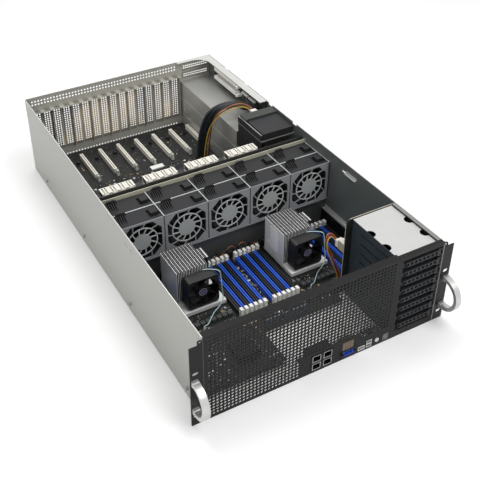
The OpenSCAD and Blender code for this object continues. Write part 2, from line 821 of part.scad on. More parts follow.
module port_board() color("black") {
    // Shield with its cut-outs
    upright(front, shield_t) difference() {
        field([port_x0, 0], [grille_x1, port_top - seam]);
        shield_gap(net_x0, net_w, port_seat, net_h);
        shield_gap(vga_x0, vga_w, port_seat, vga_h);
        shield_gap(serial_x0, serial_w, serial_z, serial_h);
        shield_gap(usb_x0, usb_w, port_seat, usb_h);
        shield_gap(stack_x0, stack_w, port_seat, stack_h);
        shield_gap(lamp_x0, lamp_w, port_seat, lamp_h);
        translate([button_x, button_z]) circle(button_r + slip, $fn = round_fn);
        mesh_holes(usb_x0, grille_x1, port_seat + usb_w + usb_h, port_top);
    }
    block([port_board_x0, front + sheet + 2 * seam, port_board_z],
          [port_board_x1, front + port_board_d, port_board_top]);
    // Network block of two by two
    socket_box(net_x0, net_w, net_h, net_d, port_seat)
        for (i = [-1, 1], j = [-1, 1])
            blind_hole(net_x0 + net_w / 2 + i * net_w / 4, port_seat + net_h / 2 + j * net_h / 4,
                       net_hole_w, net_hole_h, net_hole_d);
    // Display socket with its shell and two hex posts
    socket_box(vga_x0, vga_w, vga_h, vga_d, port_seat)
        blind_hole(vga_x0 + vga_w / 2, port_seat + vga_h / 2, vga_shell_w, vga_shell_h, vga_shell_d);
    for (s = [-1, 1])
        translate([vga_x0 + vga_w / 2 + s * (vga_w + vga_shell_w) / 4, front - port_out, port_seat + vga_h / 2])
            rotate([90, 0, 0]) cylinder(h = vga_post_l, r = vga_post_r, $fn = 6);
    // Serial socket above it, with its pins
    socket_box(serial_x0, serial_w, serial_h, vga_d, serial_z)
        for (i = [-1:1], j = [-1:1])
            translate([serial_x0 + serial_w / 2 + i * serial_pin_pitch, front - port_out - over,
                       serial_z + serial_h / 2 + j * serial_pin_pitch])
                rotate([-90, 0, 0]) cylinder(h = vga_shell_d, r = serial_pin_r, $fn = round_fn);
    block([serial_x0, front + sheet, port_seat + vga_h + seam],
          [serial_x0 + serial_w, front + vga_d, serial_z - seam]);
    // Small ports
    socket_box(usb_x0, usb_w, usb_h, usb_d, port_seat)
        blind_hole(usb_x0 + usb_w / 2, port_seat + usb_h / 2, usb_hole_w, usb_hole_h, net_hole_d);
    socket_box(stack_x0, stack_w, stack_h, usb_d, port_seat)
        for (j = [-1, 1])
            blind_hole(stack_x0 + stack_w / 2, port_seat + stack_h / 2 + j * stack_h / 4,
                       stack_hole_w, stack_hole_h, net_hole_d);
    socket_box(lamp_x0, lamp_w, lamp_h, switch_d, port_seat)
        for (i = [-1, 1], j = [-1, 1])
            blind_hole(lamp_x0 + lamp_w / 2 + i * lamp_w / 4, port_seat + lamp_h / 2 + j * lamp_h / 4,
                       lamp_hole, lamp_hole, lamp_hole);
    // Switch behind the button
    block([button_x - switch_w / 2, button_seat, port_seat],
          [button_x + switch_w / 2, button_seat + switch_d, button_z + switch_w / 2]);
}

// Power button: cap in the shield, stem that presses the switch
button_back = front - button_out + button_cap_d;
button_seat = button_back + button_stem_l + button_travel + slip;

module power_button() color("gainsboro") {
    translate([button_x, front - button_out, button_z]) rotate([-90, 0, 0]) {
        cylinder(h = button_cap_d, r = button_r, $fn = round_fn);
        cylinder(h = button_cap_d + button_stem_l, r = button_stem_r, $fn = round_fn);
    }
}

// Memory slots: four groups of six, each slot with two latches
dimm_y0 = 162;
dimm_l = 129;
dimm_h = 10.6;
dimm_groove_w = 1.6;
dimm_groove_h = 6;
latch_in = 0.4;
latch_w = dimm_w - 2 * latch_in;
latch_d = 8;
latch_h = 18.4;
latch_notch = 3;

module dimm_slot(x) {
    y0 = front + dimm_y0;
    translate([0, y0, mb_top + seam]) upright(0, dimm_l) difference() {
        field([x, 0], [x + dimm_w, dimm_h]);
        field([x + (dimm_w - dimm_groove_w) / 2, dimm_h - dimm_groove_h],
              [x + (dimm_w + dimm_groove_w) / 2, dimm_h + over]);
    }
    for (y = [y0 - seam - latch_d, y0 + dimm_l + seam])
        sideways(x + (dimm_w - latch_w) / 2, latch_w) translate([y, mb_top + seam]) difference() {
            field([0, 0], [latch_d, latch_h]);
            field([y < y0 ? latch_d - latch_notch : -over, dimm_h],
                  [y < y0 ? latch_d + over : latch_notch, dimm_h + latch_notch]);
        }
}

module dimm_slots() color("royalblue") {
    for (x = [dimm_x1, dimm_x2, dimm_x3, dimm_x4], i = [0:dimm_per_group - 1])
        dimm_slot(x + i * dimm_pitch);
}

// Processor coolers: base bracket, finned block with a cut corner, fan frame with its motor mount
bracket_h = 7;
bracket_z = mb_top + 2 * seam + socket_h;
fin_base_h = 6;
fin_t = 1;
fin_left = 42;
fin_right = 18;
fin_far = 27;
fin_y0 = 26;
fin_y1 = 90;
fin_step_y0 = 41;
fin_step_y1 = 69;
cfan_x0 = -33;
cfan_size = 60;
cfan_y = 3;
cfan_d = 22;
cfan_z = 21;
cfan_corner = 7;
cfan_duct_r = 28.5;
cfan_hub_r = 12;
cfan_strut = 3;
cfan_mount_d = 2;
rotor_gap = 1;
shaft_r = 1.5;

module cooler(cx) {
    y0 = front + cooler_front;
    // Bracket
    block([cx - cooler_w / 2, y0, bracket_z], [cx + cooler_w / 2, y0 + cooler_d, bracket_z + bracket_h]);
    // Fins, standing on a base plate
    fin_z = bracket_z + bracket_h + seam;
    difference() {
        block([cx - fin_left, y0 + fin_y0, fin_z], [cx + fin_far, y0 + fin_y1, cooler_top]);
        for (x = [cx - fin_left + fin_t:fin_pitch:cx + fin_far - fin_pitch])
            block([x, y0 + fin_y0 - over, fin_z + fin_base_h],
                  [x + fin_pitch - fin_t, y0 + fin_y1 + over, cooler_top + over]);
        block([cx + fin_right, y0 + fin_y0 - over, fin_z + fin_base_h],
              [cx + fin_far + over, y0 + fin_step_y0, cooler_top + over]);
        block([cx + fin_right, y0 + fin_step_y1, fin_z + fin_base_h],
              [cx + fin_far + over, y0 + fin_y1 + over, cooler_top + over]);
    }
}

module cooler_fan_frame(cx) {
    y0 = front + cooler_front + cfan_y;
    mid_x = cx + cfan_x0 + cfan_size / 2;
    mid_z = cfan_z + cfan_size / 2;
    upright(y0, cfan_d) difference() {
        round_field([cx + cfan_x0, cfan_z], [cx + cfan_x0 + cfan_size, cfan_z + cfan_size], cfan_corner);
        translate([mid_x, mid_z]) circle(cfan_duct_r, $fn = round_fn);
    }
    // Motor mount with its struts and shaft, at the rear
    upright(y0 + cfan_d - cfan_mount_d, cfan_mount_d) {
        translate([mid_x, mid_z]) circle(cfan_hub_r, $fn = round_fn);
        for (a = [45:90:315])
            translate([mid_x, mid_z]) rotate(a) field([0, -cfan_strut / 2], [cfan_duct_r + over, cfan_strut / 2]);
    }
    translate([mid_x, y0 + cfan_d, mid_z]) rotate([90, 0, 0])
        cylinder(h = cfan_d - 2 * rotor_gap, r = shaft_r, $fn = round_fn);
}

module cpu_coolers() color("silver") {
    for (cx = [cooler_left_x, cooler_right_x]) {
        cooler(cx);
        cooler_fan_frame(cx);
    }
}

// A fan rotor on the axis Y: hub with a bore, and pitched blades cut to a ring
module rotor(r, hub_r, d, blades, pitch_angle, blade_t) {
    rotate([-90, 0, 0]) {
        difference() {
            union() {
                cylinder(h = d, r = hub_r, $fn = round_fn);
                intersection() {
                    for (k = [0:blades - 1])
                        rotate(k * 360 / blades) translate([0, 0, d / 2]) rotate([pitch_angle, 0, 0])
                            block([hub_r - over, -d, -blade_t / 2], [r, d, blade_t / 2]);
                    cylinder(h = d, r = r, $fn = round_fn);
                }
            }
            translate([0, 0, -over]) cylinder(h = d + 2 * over, r = shaft_r + fit, $fn = round_fn);
        }
    }
}

cfan_rotor_r = cfan_duct_r - rotor_gap;
cfan_rotor_d = cfan_d - cfan_mount_d - 3 * rotor_gap;
blade_angle = 38;
blade_thick = 1.4;

module cooler_rotor(cx) color("black") {
    translate([cx + cfan_x0 + cfan_size / 2, front + cooler_front + cfan_y + 2 * rotor_gap, cfan_z + cfan_size / 2])
        rotor(cfan_rotor_r, cfan_hub_r, cfan_rotor_d, blade_count, blade_angle, blade_thick);
}

// Fan cage: shelf, dividers, rails between the rows, legs, air baffle and the ridged rear rail
fan_y0 = 312;
divider_t = 1.6;
divider_up = 1.4;
divider_h = module_h + divider_up;
cell_x = 2 * (wall_in - fan_side_gap) / fan_cols;
module_w = cell_x - 2 * slip - divider_t;
duct_dia = min(module_w, module_h) - 2 * duct_wall;
cell_y = module_d + 2 * slip + divider_t;
fan_end = fan_y0 + fan_rows * cell_y;
row_rail_h = 6;
shelf_lip = 2;
cage_leg_d = 30;
cage_leg_y = 20;
baffle_y = 8;
baffle_gap_w = 60;
baffle_gap_h = 12;
baffle_gap_places = [-80, 60];
rear_rail_d = 13;
rear_rail_h = 8;
rear_rail_z = 148;
rear_rail_gap = 2;

function col_x(i) = (i - (fan_cols - 1) / 2) * cell_x;
function row_y(j) = front + fan_y0 + slip + j * cell_y;

module fan_cage() color("gray") {
    block([-wall_in + seam, front + fan_y0 - shelf_lip, shelf_z - sheet],
          [wall_in - seam, front + fan_end, shelf_z]);
    for (i = [0:fan_cols])
        block([(i - fan_cols / 2) * cell_x - divider_t / 2, front + fan_y0, shelf_z + seam],
              [(i - fan_cols / 2) * cell_x + divider_t / 2, front + fan_end, shelf_z + divider_h]);
    // Rails between the rows, low and high
    if (fan_rows > 1)
        for (i = [0:fan_cols - 1], z = [shelf_z + seam, shelf_z + divider_h - row_rail_h])
            block([col_x(i) - cell_x / 2 + divider_t / 2 + seam, row_y(1) - slip - divider_t, z],
                  [col_x(i) + cell_x / 2 - divider_t / 2 - seam, row_y(1) - slip, z + row_rail_h]);
    // Legs under the shelf
    for (i = [1:fan_cols - 1])
        block([(i - fan_cols / 2) * cell_x - divider_t / 2, front + fan_y0 + cage_leg_y, sheet + seam],
              [(i - fan_cols / 2) * cell_x + divider_t / 2, front + fan_y0 + cage_leg_y + cage_leg_d,
               shelf_z - sheet - seam]);
    // Air baffle with gaps for leads
    upright(front + fan_y0 + baffle_y, sheet) difference() {
        field([-wall_in + seam, sheet + seam], [wall_in - seam, shelf_z - sheet - seam]);
        for (x = baffle_gap_places)
            field([x, 0], [x + baffle_gap_w, sheet + baffle_gap_h]);
    }
    // Rear rail, a channel with two ridges
    sideways(-wall_in + seam, 2 * (wall_in - seam)) translate([front + fan_end + rear_rail_gap, rear_rail_z])
        difference() {
            field([0, 0], [rear_rail_d, rear_rail_h]);
            field([sheet, sheet], [rear_rail_d - sheet, rear_rail_h + over]);
        }
}

// Fan module: housing with a round duct, finger guard, motor mount, thumb tab and plug block
guard_t = 1.5;
guard_hub_r = 16.5;
guard_ring_r = 28.5;
guard_bar = 1.9;
guard_inner = 12;
guard_outer = 10;
guard_sweep_r = 40;
guard_frame_w = 4.4;
guard_frame_h = 4;
guard_open_w = module_w - 2 * guard_frame_w;
guard_open_h = module_h - 2 * guard_frame_h;
guard_chamfer = 17;
mount_t = 3;
mount_strut = 5;
hub_r = 17;
fan_rotor_r = duct_dia / 2 - rotor_gap;
fan_rotor_d = module_d - guard_t - mount_t - 2 * rotor_gap;
fan_blade_t = 1.6;
tab_w = 20;
tab_t = 3;
tab_h = 13;
tab_in = 16.2;
tab_x = -module_w / 2 + tab_in;
tab_y = 27;
tab_ramp_d = 16;
tab_ramp_h = 8;
tab_round = 6;
tab_rib_w = 1.6;
tab_rib_pitch = 4;
plug_in = 11.2;
plug_x = module_w / 2 - plug_in;
plug_size = 14;
plug_up = 5;
plug_recess = 21;
plug_recess_h = 3;

// One swept bar of the guard between two radii
module guard_spoke(r0, r1) {
    intersection() {
        translate([0, -guard_sweep_r]) difference() {
            circle(guard_sweep_r + guard_bar / 2, $fn = round_fn);
            circle(guard_sweep_r - guard_bar / 2, $fn = round_fn);
        }
        difference() {
            field([0, -r1], [r1, r1]);
            circle(r0, $fn = round_fn);
        }
        circle(r1, $fn = round_fn);
    }
}

module guard_opening() {
    w = guard_open_w / 2;
    h = guard_open_h / 2;
    polygon([[-w, -h + guard_chamfer], [-w + guard_chamfer, -h], [w - guard_chamfer, -h], [w, -h + guard_chamfer],
             [w, h - guard_chamfer], [w - guard_chamfer, h], [-w + guard_chamfer, h], [-w, h - guard_chamfer]]);
}

module guard() {
    difference() {
        square([module_w, module_h], center = true);
        guard_opening();
    }
    circle(guard_hub_r, $fn = round_fn);
    difference() {
        circle(guard_ring_r + guard_bar / 2, $fn = round_fn);
        circle(guard_ring_r - guard_bar / 2, $fn = round_fn);
    }
    for (k = [0:guard_inner - 1])
        rotate(k * 360 / guard_inner) guard_spoke(guard_hub_r - guard_bar / 2, guard_ring_r);
    intersection() {
        square([module_w, module_h], center = true);
        for (k = [0:guard_outer - 1])
            rotate(k * 360 / guard_outer) guard_spoke(guard_ring_r, module_w / 2 + guard_bar);
    }
}

module fan_module(k) color("dimgray") {
    y0 = row_y(floor(k / fan_cols));
    z0 = shelf_z + slip;
    translate([col_x(k % fan_cols), y0, z0 + module_h / 2]) {
        upright(0, guard_t) guard();
        difference() {
            upright(guard_t, module_d - guard_t) difference() {
                square([module_w, module_h], center = true);
                circle(duct_dia / 2, $fn = round_fn);
            }
            block([plug_x - plug_recess / 2, module_d / 2 - plug_recess / 2, module_h / 2 - plug_recess_h],
                  [plug_x + plug_recess / 2, module_d / 2 + plug_recess / 2, module_h / 2 + over]);
        }
        // Motor mount and shaft
        upright(module_d - mount_t, mount_t) {
            circle(hub_r, $fn = round_fn);
            for (a = [45:90:315])
                rotate(a) field([0, -mount_strut / 2], [duct_dia / 2 + over, mount_strut / 2]);
        }
        translate([0, module_d - mount_t, 0]) rotate([90, 0, 0])
            cylinder(h = fan_rotor_d, r = shaft_r, $fn = round_fn);
        // Plug block in its recess
        block([plug_x - plug_size / 2, module_d / 2 - plug_size / 2, module_h / 2 - plug_recess_h],
              [plug_x + plug_size / 2, module_d / 2 + plug_size / 2, module_h / 2 + plug_up]);
        // Thumb tab with a ribbed ramp
        upright(tab_y, tab_t) translate([tab_x, module_h / 2]) {
            field([-tab_w / 2, -seam], [tab_w / 2, tab_h - tab_round]);
            field([-tab_w / 2 + tab_round, 0], [tab_w / 2 - tab_round, tab_h]);
            for (s = [-1, 1])
                translate([s * (tab_w / 2 - tab_round), tab_h - tab_round]) circle(tab_round, $fn = round_fn);
        }
        for (x = [tab_x - tab_w / 2:tab_rib_pitch:tab_x + tab_w / 2 - tab_rib_w])
            sideways(x, tab_rib_w)
                polygon([[tab_y - tab_ramp_d, module_h / 2 - seam], [tab_y + seam, module_h / 2 - seam],
                         [tab_y + seam, module_h / 2 + tab_ramp_h]]);
    }
}

module fan_rotor(k) color("black") {
    translate([col_x(k % fan_cols), row_y(floor(k / fan_cols)) + guard_t + rotor_gap, shelf_z + slip + module_h / 2])
        rotor(fan_rotor_r, hub_r, fan_rotor_d, blade_count, blade_angle, fan_blade_t);
}

// Expansion boards: the long board with the graphics slots, and the upright side board with two more
pb_y0 = 17;
pb_d = 50;
board_gap = 13.6;
board_edge = 4.8;
gpu_board_gap = 1.4;
gpu_board_y0 = body_d - fan_end - pb_y0 - pb_d - board_gap;
gpu_board_y1 = 8;
gpu_board_x0 = -wall_in + board_edge;
gpu_board_x1 = psu_x0 - gpu_board_gap;
gpu_board_z = 15.4;
gpu_pitch = (cover_x1 - cover_x0) / gpu_slots;
gpu_first_share = 0.952;
gpu_x0 = cover_x0 + gpu_first_share * gpu_pitch;
slot_w = 7.4;
slot_l = 94;
slot_h = 11.4;
slot_y0 = 133;
slot_groove_w = 1.8;
slot_groove_h = 8;
slot_groove_end = 3;
slot_latch_l = 13;
slot_latch_w = 5;
slot_latch_h = 14;
side_board_gap = 4;
side_board_y0 = 260;
side_board_y1 = 40;
side_board_h = 42;
side_board_down = 3;
side_board_z1 = body_h - side_board_down;
side_board_z0 = side_board_z1 - side_board_h;
side_slot_up = 18;
side_slot_pitch = 20;
side_slot_y0 = 154;
side_conn_y0 = 236;
side_conn_w = 40;
side_conn_h = 20;
side_conn_d = 9;
side_conn_up = 3;
board_foot_r = 3;
bundle_conn_in = 45.6;
bundle_conn_x = gpu_board_x1 - bundle_conn_in;
bundle_conn_w = 30;
bundle_conn_d = 12;
bundle_conn_h = 9;
bundle_conn_y = 178;
drive_power_w = 16;
drive_power_d = 8;
drive_power_y = 198;

// A long slot lying along Y, its mouth up and its latch at the front, seated at the origin
module long_slot() {
    difference() {
        block([-slot_w / 2, 0, 0], [slot_w / 2, slot_l, slot_h]);
        block([-slot_groove_w / 2, slot_groove_end, slot_h - slot_groove_h],
              [slot_groove_w / 2, slot_l - slot_groove_end, slot_h + over]);
    }
    block([-slot_latch_w / 2, -slot_latch_l, 0], [slot_latch_w / 2, seam, slot_h / 2]);
    block([-slot_latch_w / 2, -slot_latch_l, 0], [slot_latch_w / 2, -slot_latch_l / 2, slot_latch_h]);
}

side_board_x = wall_in - seam - side_board_gap - board_t;

module pcie_boards() color("darkslategray") {
    top = gpu_board_z + board_t;
    block([gpu_board_x0, rear - gpu_board_y0, gpu_board_z], [gpu_board_x1, rear - gpu_board_y1, top]);
    for (x = [gpu_board_x0 + board_foot_r, 0, gpu_board_x1 - board_foot_r],
         y = [gpu_board_y0 - 2 * board_foot_r, gpu_board_y1 + 2 * board_foot_r])
        translate([x, rear - y, sheet])
            cylinder(h = gpu_board_z - sheet - seam, r = board_foot_r, $fn = round_fn);
    for (k = [0:gpu_slots - 1])
        translate([gpu_x0 + k * gpu_pitch, rear - slot_y0, top + seam]) long_slot();
    block([bundle_conn_x, rear - bundle_conn_y, top + seam],
          [bundle_conn_x + bundle_conn_w, rear - bundle_conn_y + bundle_conn_d, top + seam + bundle_conn_h]);
    block([bundle_conn_x + slot_latch_w, rear - drive_power_y, top + seam],
          [bundle_conn_x + slot_latch_w + drive_power_w, rear - drive_power_y + drive_power_d,
           top + seam + bundle_conn_h]);
    // Side board on standoffs at the right wall
    block([side_board_x, rear - side_board_y0, side_board_z0],
          [side_board_x + board_t, rear - side_board_y1, side_board_z1]);
    for (y = [side_board_y0 - 2 * board_foot_r, side_board_y1 + 2 * board_foot_r])
        translate([side_board_x + board_t + seam, rear - y, (side_board_z0 + side_board_z1) / 2])
            rotate([0, 90, 0]) cylinder(h = side_board_gap - seam, r = board_foot_r, $fn = round_fn);
    for (k = [0:1])
        translate([side_board_x - seam, rear - side_slot_y0, side_board_z0 + side_slot_up + k * side_slot_pitch])
            rotate([0, -90, 0]) long_slot();
    block([side_board_x - seam - side_conn_d, rear - side_conn_y0, side_board_z0 + side_conn_up],
          [side_board_x - seam, rear - side_conn_y0 + side_conn_w, side_board_z0 + side_conn_up + side_conn_h]);
}

// Power board: sixteen upright sockets on a raised board, carried by a bridge
pb_gap = 3.4;
pb_x0 = -wall_in + board_edge;
pb_x1 = psu_x0 - pb_gap;
pb_z = 124.4;
pb_legs = [-120, 0, 90];
pb_groups = 4;
pb_per_group = 4;
pb_conn_pitch = 16.3;
pb_conn_w = 15.9;
pb_margin = 4.8;
pb_first = 6.8;
pb_group_w = (pb_per_group - 1) * pb_conn_pitch + pb_conn_w;
pb_group_pitch = (pb_x1 - pb_x0 - pb_margin) / pb_groups;
pb_group_x0 = pb_x0 + (pb_group_pitch - pb_group_w) / 2 + pb_first;
pb_conn_d = 20;
pb_conn_h = 18;
pb_conn_y = 20;
pb_pin = 3.2;
pb_pin_h = 9;
pb_pin_x = 5.4;
pb_pin_y = 4.5;
pb_clip_w = 7;
pb_clip_d = 1.6;
pb_clip_h = 6;

module power_socket() {
    difference() {
        block([0, 0, 0], [pb_conn_w, pb_conn_d, pb_conn_h]);
        for (i = [-1, 1], j = [0:3])
            translate([pb_conn_w / 2 + i * pb_pin_x / 2, pb_conn_d / 2 + (j - 3 / 2) * pb_pin_y,
                       pb_conn_h - pb_pin_h])
                block([-pb_pin / 2, -pb_pin / 2, 0], [pb_pin / 2, pb_pin / 2, pb_pin_h + over]);
    }
    block([pb_conn_w / 2 - pb_clip_w / 2, -pb_clip_d, pb_conn_h - pb_clip_h],
          [pb_conn_w / 2 + pb_clip_w / 2, seam, pb_conn_h - pb_clip_d]);
}

module power_board() color("ivory") {
    y0 = front + fan_end + pb_y0;
    block([pb_x0, y0, pb_z], [pb_x1, y0 + pb_d, pb_z + board_t]);
    for (g = [0:pb_groups - 1], i = [0:pb_per_group - 1])
        translate([pb_group_x0 + g * pb_group_pitch + i * pb_conn_pitch, y0 + pb_conn_y, pb_z + board_t + seam])
            power_socket();
    // Bridge and its legs
    block([-wall_in + seam, y0, pb_z - seam - sheet], [pb_x1, y0 + pb_d, pb_z - seam]);
    for (x = [-wall_in + seam, each pb_legs, pb_x1 - sheet])
        block([x, y0, sheet + seam], [x + sheet, y0 + pb_d, pb_z - 2 * seam - sheet]);
}

// Power module cage: side walls, shelves, top and the distribution board at its inner end
psu_dist_conn_w = 50;
psu_dist_conn_h = 8;
psu_dist_conn_d = 12;
psu_dist_gap = 6.3;
psu_dist_back = 4;
psu_dist_y = psu_l + psu_dist_gap + psu_dist_conn_d + seam + board_t;
psu_cage_l = psu_dist_y + psu_dist_back;

function psu_z(k) = psu_floor + k * psu_pitch + psu_wall + psu_gap;

module psu_cage() color("silver") {
    for (x = [psu_x0, psu_x1 - psu_wall])
        block([x, rear - psu_cage_l, psu_floor], [x + psu_wall, rear, psu_top - psu_wall - seam]);
    for (k = [0:psu_count - 1])
        block([psu_x0 + psu_wall + seam, rear - psu_cage_l, psu_floor + k * psu_pitch],
              [psu_x1 - psu_wall - seam, rear, psu_floor + k * psu_pitch + psu_wall]);
    block([psu_x0, rear - psu_cage_l, psu_top - psu_wall], [psu_x1, rear, psu_top]);
    for (k = [0:psu_count - 1]) {
        block([psu_x0 + psu_wall + seam, rear - psu_dist_y, psu_z(k)],
              [psu_x1 - psu_wall - seam, rear - psu_dist_y + board_t, psu_z(k) + psu_h]);
        block([psu_x0 + (psu_x1 - psu_x0 - psu_dist_conn_w) / 2, rear - psu_dist_y + board_t + seam,
               psu_z(k) + psu_h / 2 - psu_dist_conn_h / 2],
              [psu_x0 + (psu_x1 - psu_x0 + psu_dist_conn_w) / 2,
               rear - psu_dist_y + board_t + seam + psu_dist_conn_d,
               psu_z(k) + psu_h / 2 + psu_dist_conn_h / 2]);
    }
}

// Power module: steel case, mains inlet, fan grille, latch and a bow to pull it by
inlet_w = 24.4;
inlet_h = 17;
inlet_d = 15;
inlet_x = 54;
inlet_pin_w = 2;
inlet_pin_h = 4.5;
inlet_pin_l = 11;
inlet_pin_pitch = 7;
psu_fan_x = 20;
psu_fan_r = 15.5;
psu_fan_ring = 1.4;
psu_fan_rings = 4;
psu_fan_step = 3.6;
psu_fan_depth = 2;
psu_bow_x = 34;
psu_bow_t = 4;
psu_bow_w = 5;
psu_bow_d = 24;
psu_bow_h = 33;
psu_latch_w = 5;
psu_latch_h = 12;
psu_latch_d = 9;
psu_latch_x = 67.5;

module psu(k) color("lightgray") {
    z0 = psu_z(k);
    x0 = psu_x0 + psu_wall + psu_gap;
    difference() {
        block([x0, rear - psu_l, z0], [x0 + psu_w, rear, z0 + psu_h]);
        // Mains inlet
        block([x0 + inlet_x - inlet_w / 2, rear - inlet_d, z0 + psu_h / 2 - inlet_h / 2],
              [x0 + inlet_x + inlet_w / 2, rear + over, z0 + psu_h / 2 + inlet_h / 2]);
        // Ring slots of the fan grille
        translate([x0 + psu_fan_x, rear + over, z0 + psu_h / 2]) rotate([90, 0, 0])
            for (i = [1:psu_fan_rings - 1])
                linear_extrude(psu_fan_depth + over) difference() {
                    circle(psu_fan_r - (i - 1) * psu_fan_step, $fn = round_fn);
                    circle(psu_fan_r - (i - 1) * psu_fan_step - psu_fan_ring, $fn = round_fn);
                }
    }
    for (i = [-1:1])
        block([x0 + inlet_x + i * inlet_pin_pitch - inlet_pin_w / 2, rear - inlet_d - seam,
               z0 + psu_h / 2 - inlet_pin_h / 2],
              [x0 + inlet_x + i * inlet_pin_pitch + inlet_pin_w / 2, rear - inlet_d + inlet_pin_l,
               z0 + psu_h / 2 + inlet_pin_h / 2]);
    // Bow
    sideways(x0 + psu_bow_x, psu_bow_w) translate([rear - seam, z0 + psu_h / 2]) difference() {
        field([0, -psu_bow_h / 2], [psu_bow_d, psu_bow_h / 2]);
        field([-over, -psu_bow_h / 2 + psu_bow_t], [psu_bow_d - psu_bow_t, psu_bow_h / 2 - psu_bow_t]);
    }
    // Latch
    block([x0 + psu_latch_x, rear - seam, z0 + psu_h / 2 - psu_latch_h / 2],
          [x0 + psu_latch_x + psu_latch_w, rear + psu_latch_d, z0 + psu_h / 2 + psu_latch_h / 2]);
}

// Small drive above the power board's right end, in its bracket under a cross beam
aux_y0 = 43;
aux_l = 90;
aux_w = 69.8;
aux_side_gap = 3;
aux_x0 = wall_in - aux_side_gap - aux_w;
aux_h = 15;
aux_z = 150.4;
aux_leg_x = aux_x0 - aux_side_gap - seam - sheet;
aux_leg_top = 165;
aux_beam_y = 62;
aux_beam_d = 23;
aux_beam_t = 3.2;
aux_plug_w = 14;
aux_plug_d = 12;
aux_plug_h = 8;
aux_margin = 1;

module aux_drive() color("dimgray") {
    y0 = front + fan_end + aux_y0;
    block([aux_x0, y0, aux_z], [aux_x0 + aux_w, y0 + aux_l, aux_z + aux_h]);
    // Tray plate, side leg and beam
    block([aux_leg_x + sheet + seam, y0 - aux_margin, aux_z - seam - sheet],
          [wall_in - seam, y0 + aux_l, aux_z - seam]);
    block([aux_leg_x, y0 - aux_margin, sheet + seam], [aux_leg_x + sheet, y0 + aux_l, aux_leg_top]);
    block([aux_leg_x + sheet + seam, y0 + aux_beam_y, aux_z + aux_h + seam],
          [wall_in - seam, y0 + aux_beam_y + aux_beam_d, aux_z + aux_h + seam + aux_beam_t]);
    block([aux_x0 + aux_w / 2, y0 + aux_l + seam, aux_z],
          [aux_x0 + aux_w / 2 + aux_plug_w, y0 + aux_l + seam + aux_plug_d, aux_z + aux_plug_h]);
}

// Cable harness: leads swept along chosen points, each between its plug and its socket
lead_sides = 6;
lead_steps = 3;
fan_lead_r = 0.9;
lead_r = 1.1;
lead_pitch = 3.2;
bundle_r = 3.6;
bundle_pitch = 7.8;
// Power bundle from the graphics board over the power cage to the side board
bundle_route = [[100, 228, 26.4], [100, 228, 36], [102, 228, 62], [108, 224, 100], [120, 216, 134],
                [142, 207, 151], [168, 201, 153], [186, 197, 144], [196, 196, 141], [203.7, 196, 141]];
// Where the next strand of the bundle lies at each point, as shares of the bundle's pitch
bundle_shares = [[1, 0, 0], [1, 0, 0], [1, 0, 0], [0.96, -0.3, 0], [0.8, -0.6, 0],
                 [0.4, -0.92, 0], [0.1, -1, 0], [0, -1, 0], [0, -1, 0], [0, -1, 0]];
// Power leads of the small drive
drive_route = [[103, 206, 26.4], [103, 206, 36], [105, 204, 65], [111, 196, 108], [124, 182, 140],
               [146, 168, 158], [164, 159, 164], [178, 155, 160], [183, 148, 154.4], [183, 139.8, 154.4]];
drive_shares = [[1, 0, 0], [1, 0, 0], [1, 0, 0], [0.8, 0.2, 0.6], [0.4, 0.5, 0.9],
                [0.2, 0.6, 0.9], [0.3, 0.7, 0.8], [0.7, 0.6, 0.4], [1, 0, 0], [1, 0, 0]];
// Power leads of the drive backplane
back_route = [[125, -254.5, 23.2], [125, -254.5, 32], [121, -252, 47], [112, -250, 70], [104, -249, 92],
              [102, -248, 107], [107, -246, 117], [116, -244, 115], [122, -245, 106], [124, -249, 102],
              [124, -256, 102]];
back_shares = [[1, 0, 0], [1, 0, 0], [1, 0, 0], [1, 0.2, 0], [0.8, 0.6, 0],
               [0.4, 0.9, 0.2], [0, 0.9, 0.5], [0, 0.6, 0.8], [0, 0.3, 1], [0, 0, 1],
               [0, 0, 1]];
// Fan lead of a cooler, from the frame's top to its header on the board, taken from the cooler's middle
cooler_route = [[6, -176, 82.2], [14, -179, 82.4], [22, -185, 83.2], [28, -190, 83], [31, -194, 78],
                [31, -199, 52], [31, -203, 28], [22, -208, 19.5], [6, -217, 18], [-6, -228, 19],
                [-18, -240, 21], [-27, -245.5, 25], [-30, -247, 22], [-30, -247, 17.1]];

// Direction from which the first ring of a lead is turned
lead_side = [0.3, 1, 0.2];

function unit(v) = v / norm(v);
function along(p, i) = unit(p[min(i + 1, len(p) - 1)] - p[max(i - 1, 0)]);
function square_to(n, t) = unit(n - (n * t) * t);
function normals(p) =
    [for (i = 0, n = square_to(lead_side, along(p, 0)); i < len(p);
          i = i + 1, n = i < len(p) ? square_to(n, along(p, i)) : n) n];
// Smooth curve through the points, in even steps
function curve(p) =
    [for (i = [0:len(p) - 2], s = [0:lead_steps - 1])
         let (a = p[max(i - 1, 0)], b = p[i], c = p[i + 1], d = p[min(i + 2, len(p) - 1)], u = s / lead_steps)
         (2 * b + (c - a) * u + (2 * a - 5 * b + 4 * c - d) * u * u + (3 * b - a - 3 * c + d) * u * u * u) / 2,
     p[len(p) - 1]];

module tube(p, r) {
    n = normals(p);
    rings = len(p);
    points = [for (i = [0:rings - 1], s = [0:lead_sides - 1])
                  p[i] + r * (cos(s * 360 / lead_sides) * n[i]
                              + sin(s * 360 / lead_sides) * cross(along(p, i), n[i]))];
    sides = [for (i = [0:rings - 2], s = [0:lead_sides - 1])
                 let (a = i * lead_sides + s, b = i * lead_sides + (s + 1) % lead_sides)
                 each [[a, a + lead_sides, b], [b, a + lead_sides, b + lead_sides]]];
    polyhedron(points, [[for (s = [0:lead_sides - 1]) s], each sides,
                        [for (s = [lead_sides - 1:-1:0]) (rings - 1) * lead_sides + s]]);
}

// Strand number i beside a route
function strand(p, shares, i, pitch) = [for (j = [0:len(p) - 1]) p[j] + i * pitch * shares[j]];

